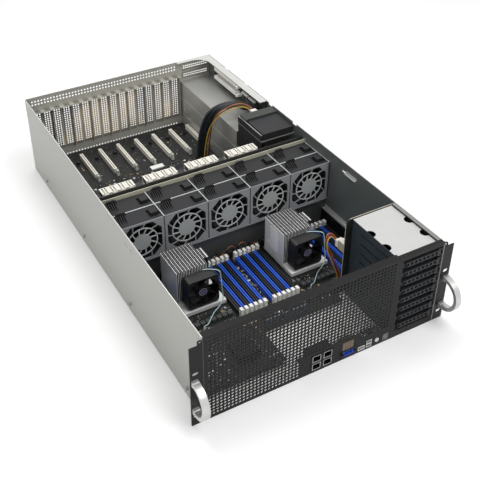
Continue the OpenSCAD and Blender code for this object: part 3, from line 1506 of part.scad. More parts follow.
module cable_harness() color("black") {
    for (i = [0:2])
        tube(curve(strand(bundle_route, bundle_shares, i, bundle_pitch)), bundle_r);
    for (i = [0:3])
        tube(curve(strand(drive_route, drive_shares, i, lead_pitch)), lead_r);
    for (i = [0:2])
        tube(curve(strand(back_route, back_shares, i, lead_pitch)), lead_r);
    for (x = [cooler_left_x, cooler_right_x])
        tube(curve([for (q = cooler_route) q + [x, 0, 0]]), fan_lead_r);
}

chassis_tray();
rear_panel();
slot_covers();
front_grille();
rack_ears();
ear_handles();
drive_cage();
drive_backplane();
motherboard();
port_board();
dimm_slots();
cpu_coolers();
fan_cage();
pcie_boards();
power_board();
psu_cage();
aux_drive();
cable_harness();
for (k = [1:tray_count]) {
    drive_tray(k - 1);
    tray_lever(k - 1);
}
for (k = [1:fan_cols * fan_rows]) {
    fan_module(k - 1);
    fan_rotor(k - 1);
}
cooler_rotor(cooler_left_x);  // cooler_rotor_left
cooler_rotor(cooler_right_x);  // cooler_rotor_right
for (k = [1:psu_count])
    psu(k - 1);
power_button();
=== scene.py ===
# %% [markdown]
# # A four-unit rack server for graphics cards
# The real thing is a long steel box with an open top: black perforated front, ten fans in two rows,
# two finned coolers between blue and black memory slots, white card slots and a bank of power modules.
# The construction is loaded as a fixed frame. This file gives every part its finish and adds the small
# parts that a printed board, a fan or a sheet metal box carries.

import bpy
import numpy as np
from mathutils import Matrix, Vector


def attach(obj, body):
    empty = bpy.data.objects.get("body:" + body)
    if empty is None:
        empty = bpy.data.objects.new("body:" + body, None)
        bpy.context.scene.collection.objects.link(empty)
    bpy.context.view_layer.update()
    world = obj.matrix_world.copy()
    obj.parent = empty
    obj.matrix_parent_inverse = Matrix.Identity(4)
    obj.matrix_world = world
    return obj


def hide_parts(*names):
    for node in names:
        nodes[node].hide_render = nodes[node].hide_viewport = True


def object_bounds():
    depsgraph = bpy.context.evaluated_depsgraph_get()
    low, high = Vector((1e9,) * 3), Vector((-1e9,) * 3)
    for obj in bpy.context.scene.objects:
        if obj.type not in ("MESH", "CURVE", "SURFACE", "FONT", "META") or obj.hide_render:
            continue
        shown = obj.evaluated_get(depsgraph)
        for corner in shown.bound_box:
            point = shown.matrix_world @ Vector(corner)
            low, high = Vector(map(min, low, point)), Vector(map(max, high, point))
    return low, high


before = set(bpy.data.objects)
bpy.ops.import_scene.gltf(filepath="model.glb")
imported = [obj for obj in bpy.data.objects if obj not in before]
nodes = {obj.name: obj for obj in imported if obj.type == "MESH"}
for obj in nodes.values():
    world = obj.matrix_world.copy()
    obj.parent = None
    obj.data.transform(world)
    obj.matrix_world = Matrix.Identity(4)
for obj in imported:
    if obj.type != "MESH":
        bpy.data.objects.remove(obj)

cad_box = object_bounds()
MM = 0.001
print("nodes", len(nodes), "box", [round(v, 4) for v in cad_box[1] - cad_box[0]])

# Places that several cells use, in millimetres
WALL_IN = 218.8       # inner face of each side wall
RIM = 170.7           # everything above it is a folded rim
FRONT_FACE = -400.55  # just in front of the port board's sockets
MAIN_TOP = 9.7        # upper face of the main board
CARD_TOP = 17.0       # upper face of the card board
CARD_FIRST, CARD_PITCH = -168, 43.6
COOLERS = (-109.5, 104.5)

# %% [markdown]
# ## Camera
# The picture looks down on the front left corner from about one and a half metres. The lens and the
# place were worked out from eleven corners of the body, so a straight edge of the model falls on the
# same edge of the picture.

# %% Camera
CAMERA_PLACE = (-0.589254, -1.135747, 0.993844)
CAMERA_TURN = (0.980067, 0.022961, -0.517764)
CAMERA_LENS = 61.56
CAMERA_SHIFT = (0.0531, -0.1316)


def make_camera():
    """Turn = about Z, then about X, then about the camera's own Y."""
    data = bpy.data.cameras.new("camera")
    data.lens = CAMERA_LENS
    data.shift_x, data.shift_y = CAMERA_SHIFT
    camera = bpy.data.objects.new("camera", data)
    bpy.context.scene.collection.objects.link(camera)
    tilt, roll, pan = CAMERA_TURN
    turn = Matrix.Rotation(pan, 4, "Z") @ Matrix.Rotation(tilt, 4, "X") @ Matrix.Rotation(roll, 4, "Y")
    camera.matrix_world = Matrix.Translation(CAMERA_PLACE) @ turn
    bpy.context.scene.camera = camera


make_camera()
print("camera at", CAMERA_PLACE, "lens", CAMERA_LENS, "mm")

# %% [markdown]
# ## Shader maths
# A finish is easier to read as arithmetic than as a drawing of boxes and wires. `Value` wraps the output
# of a node, and plus, minus, times and the comparisons add Math nodes. `Finish` holds the colour,
# roughness and metal of one surface and lets further regions be painted over it.

# %% Shader maths
class Value:
    """One number that varies over a surface."""

    def __init__(self, finish, socket):
        self.finish, self.socket = finish, socket

    def __add__(self, other):
        return self.finish.math("ADD", self, other)

    def __sub__(self, other):
        return self.finish.math("SUBTRACT", self, other)

    def __rsub__(self, other):
        return self.finish.math("SUBTRACT", other, self)

    def __mul__(self, other):
        return self.finish.math("MULTIPLY", self, other)

    def __gt__(self, other):
        return self.finish.math("GREATER_THAN", self, other)

    def __lt__(self, other):
        return self.finish.math("LESS_THAN", self, other)

    __radd__, __rmul__ = __add__, __mul__


class Finish:
    """A material whose colour, roughness and metal start plain and are painted over region by region."""

    def __init__(self, name, colour, rough, metal=0.0):
        self.material = bpy.data.materials.new(name)
        self.material.use_nodes = True
        self.tree = self.material.node_tree
        self.shader = self.tree.nodes["Principled BSDF"]
        self.colour, self.rough, self.metal = colour, rough, metal
        self.height = None
        self.place = self.node("ShaderNodeTexCoord", out="Object")
        split = self.tree.nodes.new("ShaderNodeSeparateXYZ")
        self.tree.links.new(self.place.socket, split.inputs[0])
        self.x, self.y, self.z = (Value(self, split.outputs[i]) for i in range(3))

    def node(self, kind, out=0, inputs=(), **settings):
        """Any node: its settings are set first, then the values or links of its sockets."""
        made = self.tree.nodes.new(kind)
        for key, value in settings.items():
            setattr(made, key, value)
        for key, value in dict(inputs).items():
            self.feed(made.inputs[key], value)
        return Value(self, made.outputs[out])

    def feed(self, socket, value):
        """Links a Value, or sets a plain number or colour."""
        if isinstance(value, Value):
            self.tree.links.new(value.socket, socket)
        elif isinstance(value, tuple) and len(value) == 3 and socket.type == "RGBA":
            socket.default_value = (*value, 1)
        else:
            socket.default_value = value

    def math(self, operation, *values, clamp=False):
        return self.node("ShaderNodeMath", operation=operation, use_clamp=clamp,
                         inputs=enumerate(values))

    def blend(self, mask, low, high, mode="MIX"):
        """Colour low where the mask is 0 and high where it is 1."""
        return self.node("ShaderNodeMix", out=2, data_type="RGBA", blend_type=mode,
                         inputs={0: mask, 6: low, 7: high})

    def inside(self, **ranges):
        """1 where each named coordinate lies between its two millimetre limits, else 0."""
        mask = None
        for axis, (low, high) in ranges.items():
            middle, half = (low + high) / 2 * MM, (high - low) / 2 * MM
            part = self.math("COMPARE", getattr(self, axis), middle, half)
            mask = part if mask is None else mask * part
        return mask

    def paint(self, mask, colour, rough=None, metal=None):
        """Paints a region over what is there."""
        self.colour = self.blend(mask, self.colour, colour)
        if rough is not None:
            self.rough = self.lerp(mask, self.rough, rough)
        if metal is not None:
            self.metal = self.lerp(mask, self.metal, metal)
        return self

    def lerp(self, mask, low, high):
        """low + mask (high - low), on numbers."""
        return mask * (high - low) + low

    def scaled(self, size, stretch):
        """The place on the object, in steps of size millimetres."""
        scale = tuple(s / (size * MM) for s in stretch)
        return self.node("ShaderNodeMapping", inputs={0: self.place, 3: scale})

    def noise(self, size, detail=3.0, stretch=(1, 1, 1)):
        """Smooth noise from 0 to 1 whose lumps are about size millimetres across."""
        return self.node("ShaderNodeTexNoise", inputs={"Vector": self.scaled(size, stretch), "Scale": 1.0,
                                                       "Detail": detail, "Roughness": 0.55})

    def cells(self, size, out="Color", stretch=(1, 1, 1)):
        """Crystal-like cells about size millimetres across."""
        return self.node("ShaderNodeTexVoronoi", out=out,
                         inputs={"Vector": self.scaled(size, stretch), "Scale": 1.0})

    def tint(self, pattern, amount):
        """Multiplies the colour by 1 - amount ... 1 + amount as the pattern goes from 0 to 1."""
        level = pattern * (2 * amount) + (1 - amount)
        grey = self.node("ShaderNodeCombineColor", inputs={0: level, 1: level, 2: level})
        self.colour = self.blend(1.0, self.colour, grey, mode="MULTIPLY")
        return self

    def wear(self, pattern, amount):
        """Roughness goes up and down by amount with the pattern."""
        self.rough = (pattern - 0.5) * (2 * amount) + self.rough
        return self

    def bump(self, height, depth):
        """Height in metres times depth, added to what is there."""
        height = height * depth
        self.height = height if self.height is None else self.height + height
        return self

    def done(self, **plain):
        """Links what was worked out to the shader, and gives the material."""
        self.feed(self.shader.inputs["Base Color"], self.colour)
        self.feed(self.shader.inputs["Roughness"], self.rough)
        self.feed(self.shader.inputs["Metallic"], self.metal)
        for key, value in plain.items():
            self.shader.inputs[key.replace("_", " ")].default_value = value
        if self.height is not None:
            bumped = self.node("ShaderNodeBump", inputs={"Height": self.height, "Distance": 1.0})
            self.feed(self.shader.inputs["Normal"], bumped)
        return self.material


def dress(material, *names):
    """Gives a finish to construction nodes."""
    for name in names:
        mesh = nodes[name].data
        mesh.materials.clear()
        mesh.materials.append(material)
    print(material.name, "on", len(names), "nodes")


# %% [markdown]
# ## Sheet metal
# The body is zinc-coated steel. At arm's length it is a soft grey with faint crystal patches, and it
# mirrors its surroundings in a blurred way: the outside shows the pale room, the inside shows the dark
# boards. So it is nearly all metal, with a middling roughness, and the patches only change it by a few
# per cent. Beyond that, the inner walls carry a painted reflection of the dark boards, the floor a painted
# reflection of the pale room, and the rims a painted highlight.

# %% Sheet metal
ZINC = (0.36, 0.36, 0.335)
FLOOR_TOP = (1.1, 1.25)


def zinc(name, colour=ZINC, rough=0.4, metal=0.55):
    """Zinc-coated sheet: crystal patches, fine rolling streaks and a slight wave."""
    sheet = Finish(name, colour, rough, metal)
    patches = sheet.node("ShaderNodeSeparateColor", inputs={0: sheet.cells(9)})
    streaks = sheet.noise(1.2, stretch=(1, 0.04, 1))
    sheet.tint(patches, 0.025).tint(streaks, 0.03)
    sheet.wear(patches, 0.03).wear(streaks, 0.05)
    sheet.bump(sheet.noise(60, 1), 0.00025)
    return sheet


body = zinc("zinc_body")
# Painted reflections: inner walls dark for the boards, floor pale for the room; rims a painted highlight;
# front ends black
body.paint(body.inside(x=(-WALL_IN - 0.05, WALL_IN + 0.05), z=(FLOOR_TOP[0], RIM)),
           (0.12, 0.135, 0.13), 0.42, 0.3)
body.paint(body.inside(x=(-WALL_IN, WALL_IN), z=FLOOR_TOP), (0.78, 0.78, 0.76), 0.4, 0.1)
body.paint(body.z > RIM * MM, (0.60, 0.60, 0.58), 0.4, 0.4)
body.paint(body.y < -398.2 * MM, (0.03, 0.03, 0.03), 0.45, 0.1)
# Painted shade: a dark line along the right wall's top edge, behind the fans, for the gap there
top_gap_shade = body.inside(x=(WALL_IN - 0.05, 220.05), y=(140, 400)) * (body.z > 171.9 * MM)
body.paint(top_gap_shade, (0.05, 0.05, 0.05), 0.5, 0.2)
dress(body.done(), "chassis_tray")

rear = zinc("zinc_rear", (0.46, 0.45, 0.40), 0.45, 0.3)
dress(rear.done(), "rear_panel")

# Painted reflection: soft warm patches on the covers' inner face stand in for the warm light of the room
cover = zinc("zinc_covers", (0.26, 0.25, 0.215), 0.42, 0.3)
warm_reflection = cover.noise(60, 1, stretch=(1, 1, 0.6))
warm_reflection = cover.math("SMOOTH_MAX", (warm_reflection - 0.42) * 5, 0.0, 0.2, clamp=True)
cover.paint(warm_reflection * cover.inside(x=(-150, 120), y=(396, 398.3), z=(40, 140)), (0.74, 0.62, 0.44))
cover.paint(cover.z > 153 * MM, (0.50, 0.49, 0.45), 0.4, 0.3)
dress(cover.done(), "slot_covers")

# Power module cage: brushed along its length, with a painted highlight along the fold at each shelf
power_cage = zinc("zinc_power_cage", (0.50, 0.50, 0.48), 0.36, 0.6)
SHELF_FOLDS = (1.7, 42.1, 82.5, 122.9)
for fold in SHELF_FOLDS:
    power_cage.paint(power_cage.inside(z=(fold - 0.9, fold + 0.9)), (0.78, 0.78, 0.75), 0.4, 0.3)
power_cage.paint(power_cage.z > (SHELF_FOLDS[-1] + 0.2) * MM, (0.40, 0.40, 0.38), 0.38, 0.5)
power_cage.tint(power_cage.noise(3, 2, stretch=(1, 0.03, 1)), 0.10)
dress(power_cage.done(), "psu_cage")

# %% [markdown]
# ## Black parts
# Front, ears and drive levers are powder coated: nearly black, with a fine orange-peel grain that
# breaks up the highlights. The same function makes each of them, with its own grey and grain.

# %% Black parts
BLACK = (0.005, 0.005, 0.0055)


def powder(name, colour=BLACK, rough=0.42):
    """Powder coat: a fine grain in the bump, faint lighter dust in the colour."""
    coat = Finish(name, colour, rough)
    fine = coat.noise(0.7, 2)
    coat.tint(coat.noise(40, 3), 0.18).wear(fine, 0.08)
    coat.bump(fine, 0.00008)
    coat.shader.inputs["Specular IOR Level"].default_value = 0.2
    return coat


dress(powder("black_front").done(), "front_grille")
# Painted highlight: the right ear's inner edge is painted light where it catches the light
ears = powder("black_ears")
ears.paint(ears.inside(x=(219.5, 220.9)), (0.30, 0.30, 0.29), 0.4)
dress(ears.done(), "rack_ears")
trays = [n for n in nodes if n.startswith("drive_tray")]
levers = [n for n in nodes if n.startswith("tray_lever")]
dress(powder("black_trays", (0.014, 0.0145, 0.016)).done(), *trays)
dress(powder("grey_levers", (0.016, 0.017, 0.019), 0.36).done(), *levers)

# Port board: x range, z range, colour and metal of each socket, on a green board
PORT_FINISHES = [((34, 55), (6.5, 16.5), (0.03, 0.08, 0.42), 0.0),       # blue display socket
                 ((32, 53), (20.2, 37.0), (0.15, 0.11, 0.075), 0.0),     # brown serial socket above it
                 ((64, 77.6), (3.9, 12.3), (0.70, 0.70, 0.68), 0.8),     # tin shells of the small ports
                 ((80.5, 91.5), (3.9, 19.1), (0.55, 0.55, 0.53), 0.8),
                 ((114.5, 125.5), (3.9, 17.1), (0.16, 0.17, 0.16), 0.2)]  # grey switch
ports = powder("black_ports")
ports.paint(ports.inside(x=(-33, 128), y=(-398.7, -366), z=(2.2, 3.95)), (0.012, 0.05, 0.03))
for across, up, colour, metal in PORT_FINISHES:
    ports.paint(ports.inside(x=across, y=(FRONT_FACE, -366), z=up), colour, 0.38, metal)
# Network block: black, with a thin tin rim round each of its four sockets
for x in (-18.3, 3.1):
    for z in (12.4, 29.2):
        ports.paint(ports.inside(x=(x - 8, x + 8), y=(FRONT_FACE, -400.2), z=(z - 6.5, z + 6.5)),
                    (0.45, 0.45, 0.44), 0.35, 0.7)
dress(ports.done(), "port_board")

# Drive cage: dark blue-grey sides, a bright top plate, and the black bezel of the front
cage = powder("drive_cage", (0.035, 0.045, 0.052), 0.4)
cage.paint(cage.z > 166.9 * MM, (0.54, 0.54, 0.53), 0.38, 0.3)
cage.tint(cage.noise(24, 2), 0.05)
cage.paint(cage.z > RIM * MM, (0.24, 0.24, 0.23), 0.4, 0.4)
cage.paint(cage.y < -391.9 * MM, BLACK, 0.42, 0.0)
dress(cage.done(), "drive_cage")

# %% [markdown]
# ## Boards
# Four circuit boards: the main board, the drives' backplane, the card board and the power board. All
# are black with tracks that show only as a faint relief. Sockets and plugs that belong to a board's own
# shape get their plastic colours here, each inside a box in millimetres.

# %% Boards
BOARD = (0.012, 0.014, 0.014)


def board(name, colour=BOARD):
    """Black solder mask: faint copper tracks under it and small printed marks."""
    mask = Finish(name, colour, 0.45)
    mask.shader.inputs["Specular IOR Level"].default_value = 0.3
    mask.tint(mask.noise(6, 3), 0.4)
    tracks = mask.node("ShaderNodeTexWave", out="Fac", wave_type="BANDS", bands_direction="DIAGONAL",
                       inputs={"Vector": mask.place, "Scale": 220.0, "Distortion": 0.0})
    mask.paint((tracks > 0.8) * (mask.noise(14, 0) > 0.52), (0.03, 0.034, 0.034))
    mask.bump(tracks, 0.00003)
    return mask


main = board("main_board")
main.paint(main.z > 10.5 * MM, (0.055, 0.06, 0.058), 0.5)
main.paint(main.inside(x=(-41, 47), y=(-283, -273), z=(MAIN_TOP, 30)), (0.10, 0.13, 0.16), 0.4)
dress(main.done(Coat_Weight=0.1), "motherboard")

# Backplane: black, its cut edges and the power plug pale
backing = board("backplane_board")
backing.paint(backing.inside(x=(118, 131.2), y=(-273, -255), z=(97, 117)), (0.78, 0.77, 0.72), 0.4)
backing.paint(backing.z > 168.6 * MM, (0.40, 0.37, 0.29), 0.5)
backing.paint(backing.x < 119.15 * MM, (0.42, 0.39, 0.30), 0.5)
dress(backing.done(Coat_Weight=0.1), "drive_backplane")

# Card board: ivory slots, greyer catches in front, a light printed line beside each slot; on the side board
# slots painted a brighter ivory as painted light, and a black one
IVORY = (0.80, 0.77, 0.69)
cards = board("card_board")
cards.paint(cards.inside(x=(-175, 142), y=(253.5, 380), z=(17.05, 34)), IVORY, 0.45)
cards.paint(cards.inside(x=(-175, 142), y=(253.5, 267.05), z=(17.05, 34)), (0.52, 0.51, 0.47), 0.45)
for number in range(8):
    x = CARD_FIRST + CARD_PITCH * number
    printed = cards.inside(x=(x + 5.8, x + 6.5), y=(258, 362), z=(CARD_TOP - 0.1, CARD_TOP + 0.05))
    cards.paint(printed, (0.5, 0.5, 0.48), 0.5)
# Painted light: the side board's slots are a brighter white than the ivory, against the shade of the rim
cards.paint(cards.inside(x=(190, 213.05), y=(232.5, 365), z=(136, 172)), (0.93, 0.91, 0.86), 0.45)
cards.paint(cards.inside(x=(190, 213.05), y=(163.5, 204.5), z=(129, 151)), (0.03, 0.03, 0.032), 0.45)
dress(cards.done(Coat_Weight=0.1), "pcie_boards")

# Power sockets: ivory housings on a black board; the band of deep pin holes is painted dark as painted
# shade
sockets = Finish("power_sockets", IVORY, 0.45)
sockets.tint(sockets.noise(5, 2), 0.05)
sockets.paint(sockets.inside(y=(33, 50), z=(134, 143.2)), (0.09, 0.08, 0.065), 0.6)
sockets.paint(sockets.z < 126.05 * MM, BOARD, 0.45)
dress(sockets.done(), "power_board")

# %% [markdown]
# ## Memory slots
# Slots alternate blue and black, and every slot has an ivory latch at each end. A triangle wave over x,
# compared with half a pitch, gives stripes exactly one slot wide; each group of six starts its own wave.

# %% Memory slots
memory = Finish("memory_slots", (0.012, 0.012, 0.014), 0.4)
BLUE = (0.022, 0.10, 0.56)
SLOT_PITCH = 9.4
# Left edge of each group of six, and where a run of one blue and one black slot starts in it
for left, phase in ((-215, -221.2), (-67.2, -64.0), (-1.0, -7.2), (151.5, 145.3)):
    stripe = memory.math("PINGPONG", memory.x - phase * MM, SLOT_PITCH * MM) > SLOT_PITCH / 2 * MM
    memory.paint(stripe * memory.inside(x=(left - 1, left + 6 * SLOT_PITCH)), BLUE, 0.36)
memory.paint(1 - memory.inside(y=(-238.05, -108.95)), (0.84, 0.83, 0.78), 0.4)
memory.tint(memory.noise(8, 2), 0.08)
dress(memory.done(), "dimm_slots")

# %% [markdown]
# ## Coolers
# Thin pale fins on a plate. Between two fins no light returns, so the faces inside the stack are painted
# nearly black as painted shade, and every second fin top is painted darker as painted shade, which at this
# distance reads as the stack's fine comb.

# %% Coolers
FIN_PITCH = 3
fins = zinc("cooler_metal", (0.80, 0.80, 0.79), 0.36, 0.25)
for x in COOLERS:
    # Painted shade on the faces inside the fin stack, and on every second fin top
    fin_gap_shade = fins.inside(x=(x - 41.95, x + 26.95), y=(-173.95, -110.05), z=(24, 90.6))
    fins.paint(fin_gap_shade, (0.03, 0.03, 0.032), 0.5, 0.0)
    second = fins.math("PINGPONG", fins.x - (x - 41.5) * MM, FIN_PITCH * MM) > FIN_PITCH / 2 * MM
    fins.paint(second * fins.inside(x=(x - 41.95, x + 27.1), z=(90.5, 92)), (0.22, 0.22, 0.22), 0.4, 0.3)
    fins.paint(fins.inside(x=(x - 33.1, x + 27.1), y=(-197.1, -174.95), z=(20.9, 81.1)), BLACK, 0.45, 0.0)
dress(fins.done(), "cpu_coolers")

# %% [markdown]
# ## Fans
# Ten modules in two rows of five stand in a cage painted dark as painted shade, with edges painted bright
# as painted highlights. The distance from a fan's axis, the root of across squared plus up squared,
# separates the hub disc, the guard's wires and the frame.

# %% Fans
# The cage: top edges and a strip along the front below the first row painted bright as painted highlights,
# the rest painted dark as painted shade; an olive rail behind the fans with a black trough in it
fan_steel = zinc("fan_cage_steel", (0.085, 0.088, 0.09), 0.45, 0.3)
fan_steel.paint(fan_steel.z > 148.9 * MM, (0.55, 0.56, 0.56), 0.38, 0.4)
fan_steel.paint(fan_steel.inside(y=(-89, -86.5), z=(64, 68)), (0.30, 0.31, 0.31), 0.4, 0.4)
fan_steel.paint(fan_steel.inside(y=(-5, 4), z=(145, 160)), (0.56, 0.55, 0.43), 0.4, 0.3)
fan_steel.paint(fan_steel.inside(y=(4, 12), z=(145, 160)), (0.015, 0.015, 0.016), 0.5, 0.0)
dress(fan_steel.done(), "fan_cage")

# Fan modules: black, with a grey face, a paler wire guard, a plain disc over the hub and painted shade in
# the duct behind
FAN_PITCH, FAN_AXIS_UP = 86.6, 108.3
GUARD_RADIUS, DISC_RADIUS = 29.6, 16.6
for row in range(2):
    front = -87.7 + 41.2 * row
    module = powder(f"fan_module_{row}", (0.020, 0.0205, 0.022), 0.42)
    face = module.y < (front + 1.4) * MM
    across, up = module.math("PINGPONG", module.x, FAN_PITCH / 2 * MM), module.z - FAN_AXIS_UP * MM
    away = module.math("SQRT", across * across + up * up)
    module.paint(face, (0.26, 0.27, 0.28), 0.42)
    module.paint(face * (away < GUARD_RADIUS * MM), (0.46, 0.47, 0.47), 0.4)
    module.paint(face * (away < DISC_RADIUS * MM), (0.34, 0.36, 0.355), 0.4)
    # Painted shade inside the duct just behind the guard
    module.paint(module.inside(y=(front + 1.4, front + 3), z=(66, 149.05)), (0.008, 0.008, 0.009), 0.6)
    dress(module.done(), *[f"fan_module_{k}" for k in range(1 + 5 * row, 6 + 5 * row)])

rotor = powder("rotor_plastic", (0.012, 0.012, 0.014), 0.4)
dress(rotor.done(), *[n for n in nodes if n.startswith("fan_rotor")])

# Cooler fans: the same black, with a small plain pale disc on the hub
for side, x in zip(("left", "right"), COOLERS):
    blades = powder(f"cooler_rotor_{side}", (0.010, 0.010, 0.012), 0.4)
    across, up = blades.x - (x - 3) * MM, blades.z - 51 * MM
    away = blades.math("SQRT", across * across + up * up)
    blades.paint((away < 7.5 * MM) * (away > 6.2 * MM), (0.30, 0.30, 0.38), 0.4)
    blades.paint(away < 4.5 * MM, (0.14, 0.14, 0.26), 0.4)
    dress(blades.done(), f"cooler_rotor_{side}")

# %% [markdown]
# ## Handles, power modules, drive, button
# Polished handles in front, brushed power modules behind, and the small drive on its tray, which is
# black plastic over a grey plate.

# %% Handles, power modules, drive, button
handle = zinc("handle_metal", (0.56, 0.56, 0.55), 0.32, 0.75)
dress(handle.done(), "ear_handles")
modules = zinc("power_modules", (0.55, 0.55, 0.53), 0.33, 0.8)
dress(modules.done(), *[n for n in nodes if n.startswith("psu_") and n != "psu_cage"])
# Small drive: black case on a grey plate and beam, between a dark leg and the wall
drive = powder("small_drive", (0.022, 0.022, 0.024), 0.38)
drive.paint(drive.inside(x=(140, 219), z=(149, 150.35)), (0.40, 0.40, 0.38), 0.4, 0.4)
drive.paint(drive.z > 165.45 * MM, (0.05, 0.055, 0.05), 0.4, 0.2)
drive.paint(drive.inside(x=(141, 143)) * (drive.z > 163.6 * MM), (0.5, 0.5, 0.48), 0.4, 0.4)
drive.paint(drive.inside(x=(140, 219), y=(127.4, 145), z=(150.3, 165.4)), (0.72, 0.70, 0.64), 0.4)
dress(drive.done(), "aux_drive")
dress(powder("lead_sheath", (0.02, 0.02, 0.022), 0.5).done(), "cable_harness")
dress(powder("button_cap", (0.5, 0.5, 0.48), 0.4).done(), "power_button")

# %% [markdown]
# ## Shapes from arrays
# Small parts come in hundreds, so each shape is worked out once as an array of points and copied with
# one sum over all its places. `Build` gathers such arrays, with a paint number for each face, and hands
# them to Blender as one mesh. Everything is in millimetres until then.

# %% Shapes from arrays
CORNERS = np.array([[i, j, k] for i in (0, 1) for j in (0, 1) for k in (0, 1)], float)
BRICK_FACES = np.array([[0, 1, 3, 2], [4, 6, 7, 5], [0, 4, 5, 1], [2, 3, 7, 6], [0, 2, 6, 4], [1, 5, 7, 3]])
SHARP = 0.6  # an edge that turns by more radians than this stays crisp on a smooth piece


def loop_faces(rings, sides):
    """Quads between neighbouring rings of points, and a cap at each end."""
    walls = [(r * sides + s, r * sides + (s + 1) % sides, (r + 1) * sides + (s + 1) % sides,
              (r + 1) * sides + s) for r in range(rings - 1) for s in range(sides)]
    caps = [tuple(range(sides - 1, -1, -1)), tuple((rings - 1) * sides + s for s in range(sides))]
    return walls + caps


class Build:
    """Points in millimetres, faces and paint numbers of one piece."""

    def __init__(self):
        self.points, self.faces, self.paints, self.count = [], [], [], 0

    def add(self, points, faces, paint=0):
        points = np.asarray(points, float).reshape(-1, 3)
        self.points.append(points)
        self.faces += [tuple(int(i) + self.count for i in face) for face in faces]
        self.paints += [paint] * len(faces)
        self.count += len(points)
        return self

    def bricks(self, low, high, paint=0):
        """Boxes between rows of corners: low + corner * (high - low)."""
        low, high = np.atleast_2d(np.asarray(low, float)), np.atleast_2d(np.asarray(high, float))
        points = low[:, None] + CORNERS * (high - low)[:, None]
        faces = BRICK_FACES + 8 * np.arange(len(low))[:, None, None]
        return self.add(points, faces.reshape(-1, 4), paint)

    def turned(self, profile, places, sides=14, paint=0):
        """A profile of (radius, height) turned about z and set down at each place.
        Ring point = place + (radius cos a, radius sin a, height)."""
        profile, places = np.asarray(profile, float), np.atleast_2d(np.asarray(places, float))
        angle = np.arange(sides) * 2 * np.pi / sides
        ring = np.stack([np.outer(profile[:, 0], np.cos(angle)), np.outer(profile[:, 0], np.sin(angle)),
                         np.repeat(profile[:, 1:], sides, 1)], -1)
        points = places[:, None, None] + ring
        one, size = loop_faces(len(profile), sides), len(profile) * sides
        faces = [tuple(size * k + i for i in face) for k in range(len(places)) for face in one]
        return self.add(points, faces, paint)

    def tube(self, line, radius, sides, paint=0):
        """A circle carried along a line without twisting: each ring's first direction is the last one's,
        made square to the new direction of travel."""
        line = np.asarray(line, float)
        ahead = np.gradient(line, axis=0)
        ahead /= np.linalg.norm(ahead, axis=1, keepdims=True)
        side = np.cross(ahead[0], [0.3, 0.1, 1.0])
        sides_at = []
        for t in ahead:
            side = side - t * (side @ t)
            side /= np.linalg.norm(side)
            sides_at.append(side)
        first = np.array(sides_at)
        second = np.cross(ahead, first)
        angle = np.arange(sides) * 2 * np.pi / sides
        points = line[:, None] + radius * (np.cos(angle)[None, :, None] * first[:, None]
                                           + np.sin(angle)[None, :, None] * second[:, None])
        return self.add(points, loop_faces(len(line), sides), paint)

    def piece(self, name, body, slot, materials, smooth=False, bevel=0.0):
        """Makes the mesh and lets it ride on a body. slot is not used. bevel is in millimetres."""
        mesh = bpy.data.meshes.new(name)
        mesh.from_pydata((np.concatenate(self.points) * MM).tolist(), [], self.faces)
        for material in materials:
            mesh.materials.append(material)
        mesh.polygons.foreach_set("material_index", self.paints)
        mesh.polygons.foreach_set("use_smooth", [smooth] * len(self.faces))
        mesh.update()
        made = bpy.data.objects.new(name, mesh)
        bpy.context.scene.collection.objects.link(made)
        if smooth:
            mesh.set_sharp_from_angle(angle=SHARP)
        if bevel:
            edge = made.modifiers.new("edge", "BEVEL")
            edge.width, edge.segments = bevel * MM, 1
        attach(made, body)
        print(name, len(mesh.polygons), "faces")
        return made


def curve(route, steps=8):
    """Smooth line through a route: between b and c, with neighbours a and d and u from 0 to 1,
    (2b + (c-a)u + (2a-5b+4c-d)u2 + (3b-a-3c+d)u3) / 2."""
    p = np.asarray(route, float)
    p = np.concatenate([p[:1], p, p[-1:]])
    u = (np.arange(steps) / steps)[None, :, None]
    a, b, c, d = (p[i:len(p) - 3 + i, None] for i in range(4))
    line = (2 * b + (c - a) * u + (2 * a - 5 * b + 4 * c - d) * u ** 2
            + (3 * b - a - 3 * c + d) * u ** 3) / 2
    return np.concatenate([line.reshape(-1, 3), p[-1:]])


# %% [markdown]
# ## Leads
# The leads inside the box are held at both ends, so their routes are settled with the construction and
# only repeated here. A thick lead is a bundle in a woven black sleeve; the small ones are bare wires in
# the usual colours. One function lays several strands beside a route, each a pitch further along the
# shares of that point.

# %% Leads
LEAD_COLOURS = {"sleeve": (0.010, 0.012, 0.017), "yellow": (0.52, 0.33, 0.03), "orange": (0.42, 0.13, 0.03),
                "black": (0.012, 0.012, 0.012), "red": (0.20, 0.015, 0.015), "pale": (0.42, 0.56, 0.56),
                "white": (0.75, 0.75, 0.72)}


def sheath(name, colour, rough=0.42):
    """Soft plastic: a faint mottle and, on the sleeve, a woven grain."""
    skin = Finish(f"lead_{name}", colour, rough)
    skin.tint(skin.noise(5, 2), 0.12)
    if name == "sleeve":
        weave = skin.cells(0.9, out="Distance")
        skin.bump(weave, 0.0002).wear(weave, 0.15)
    return skin.done()


leads = {name: sheath(name, colour) for name, colour in LEAD_COLOURS.items()}

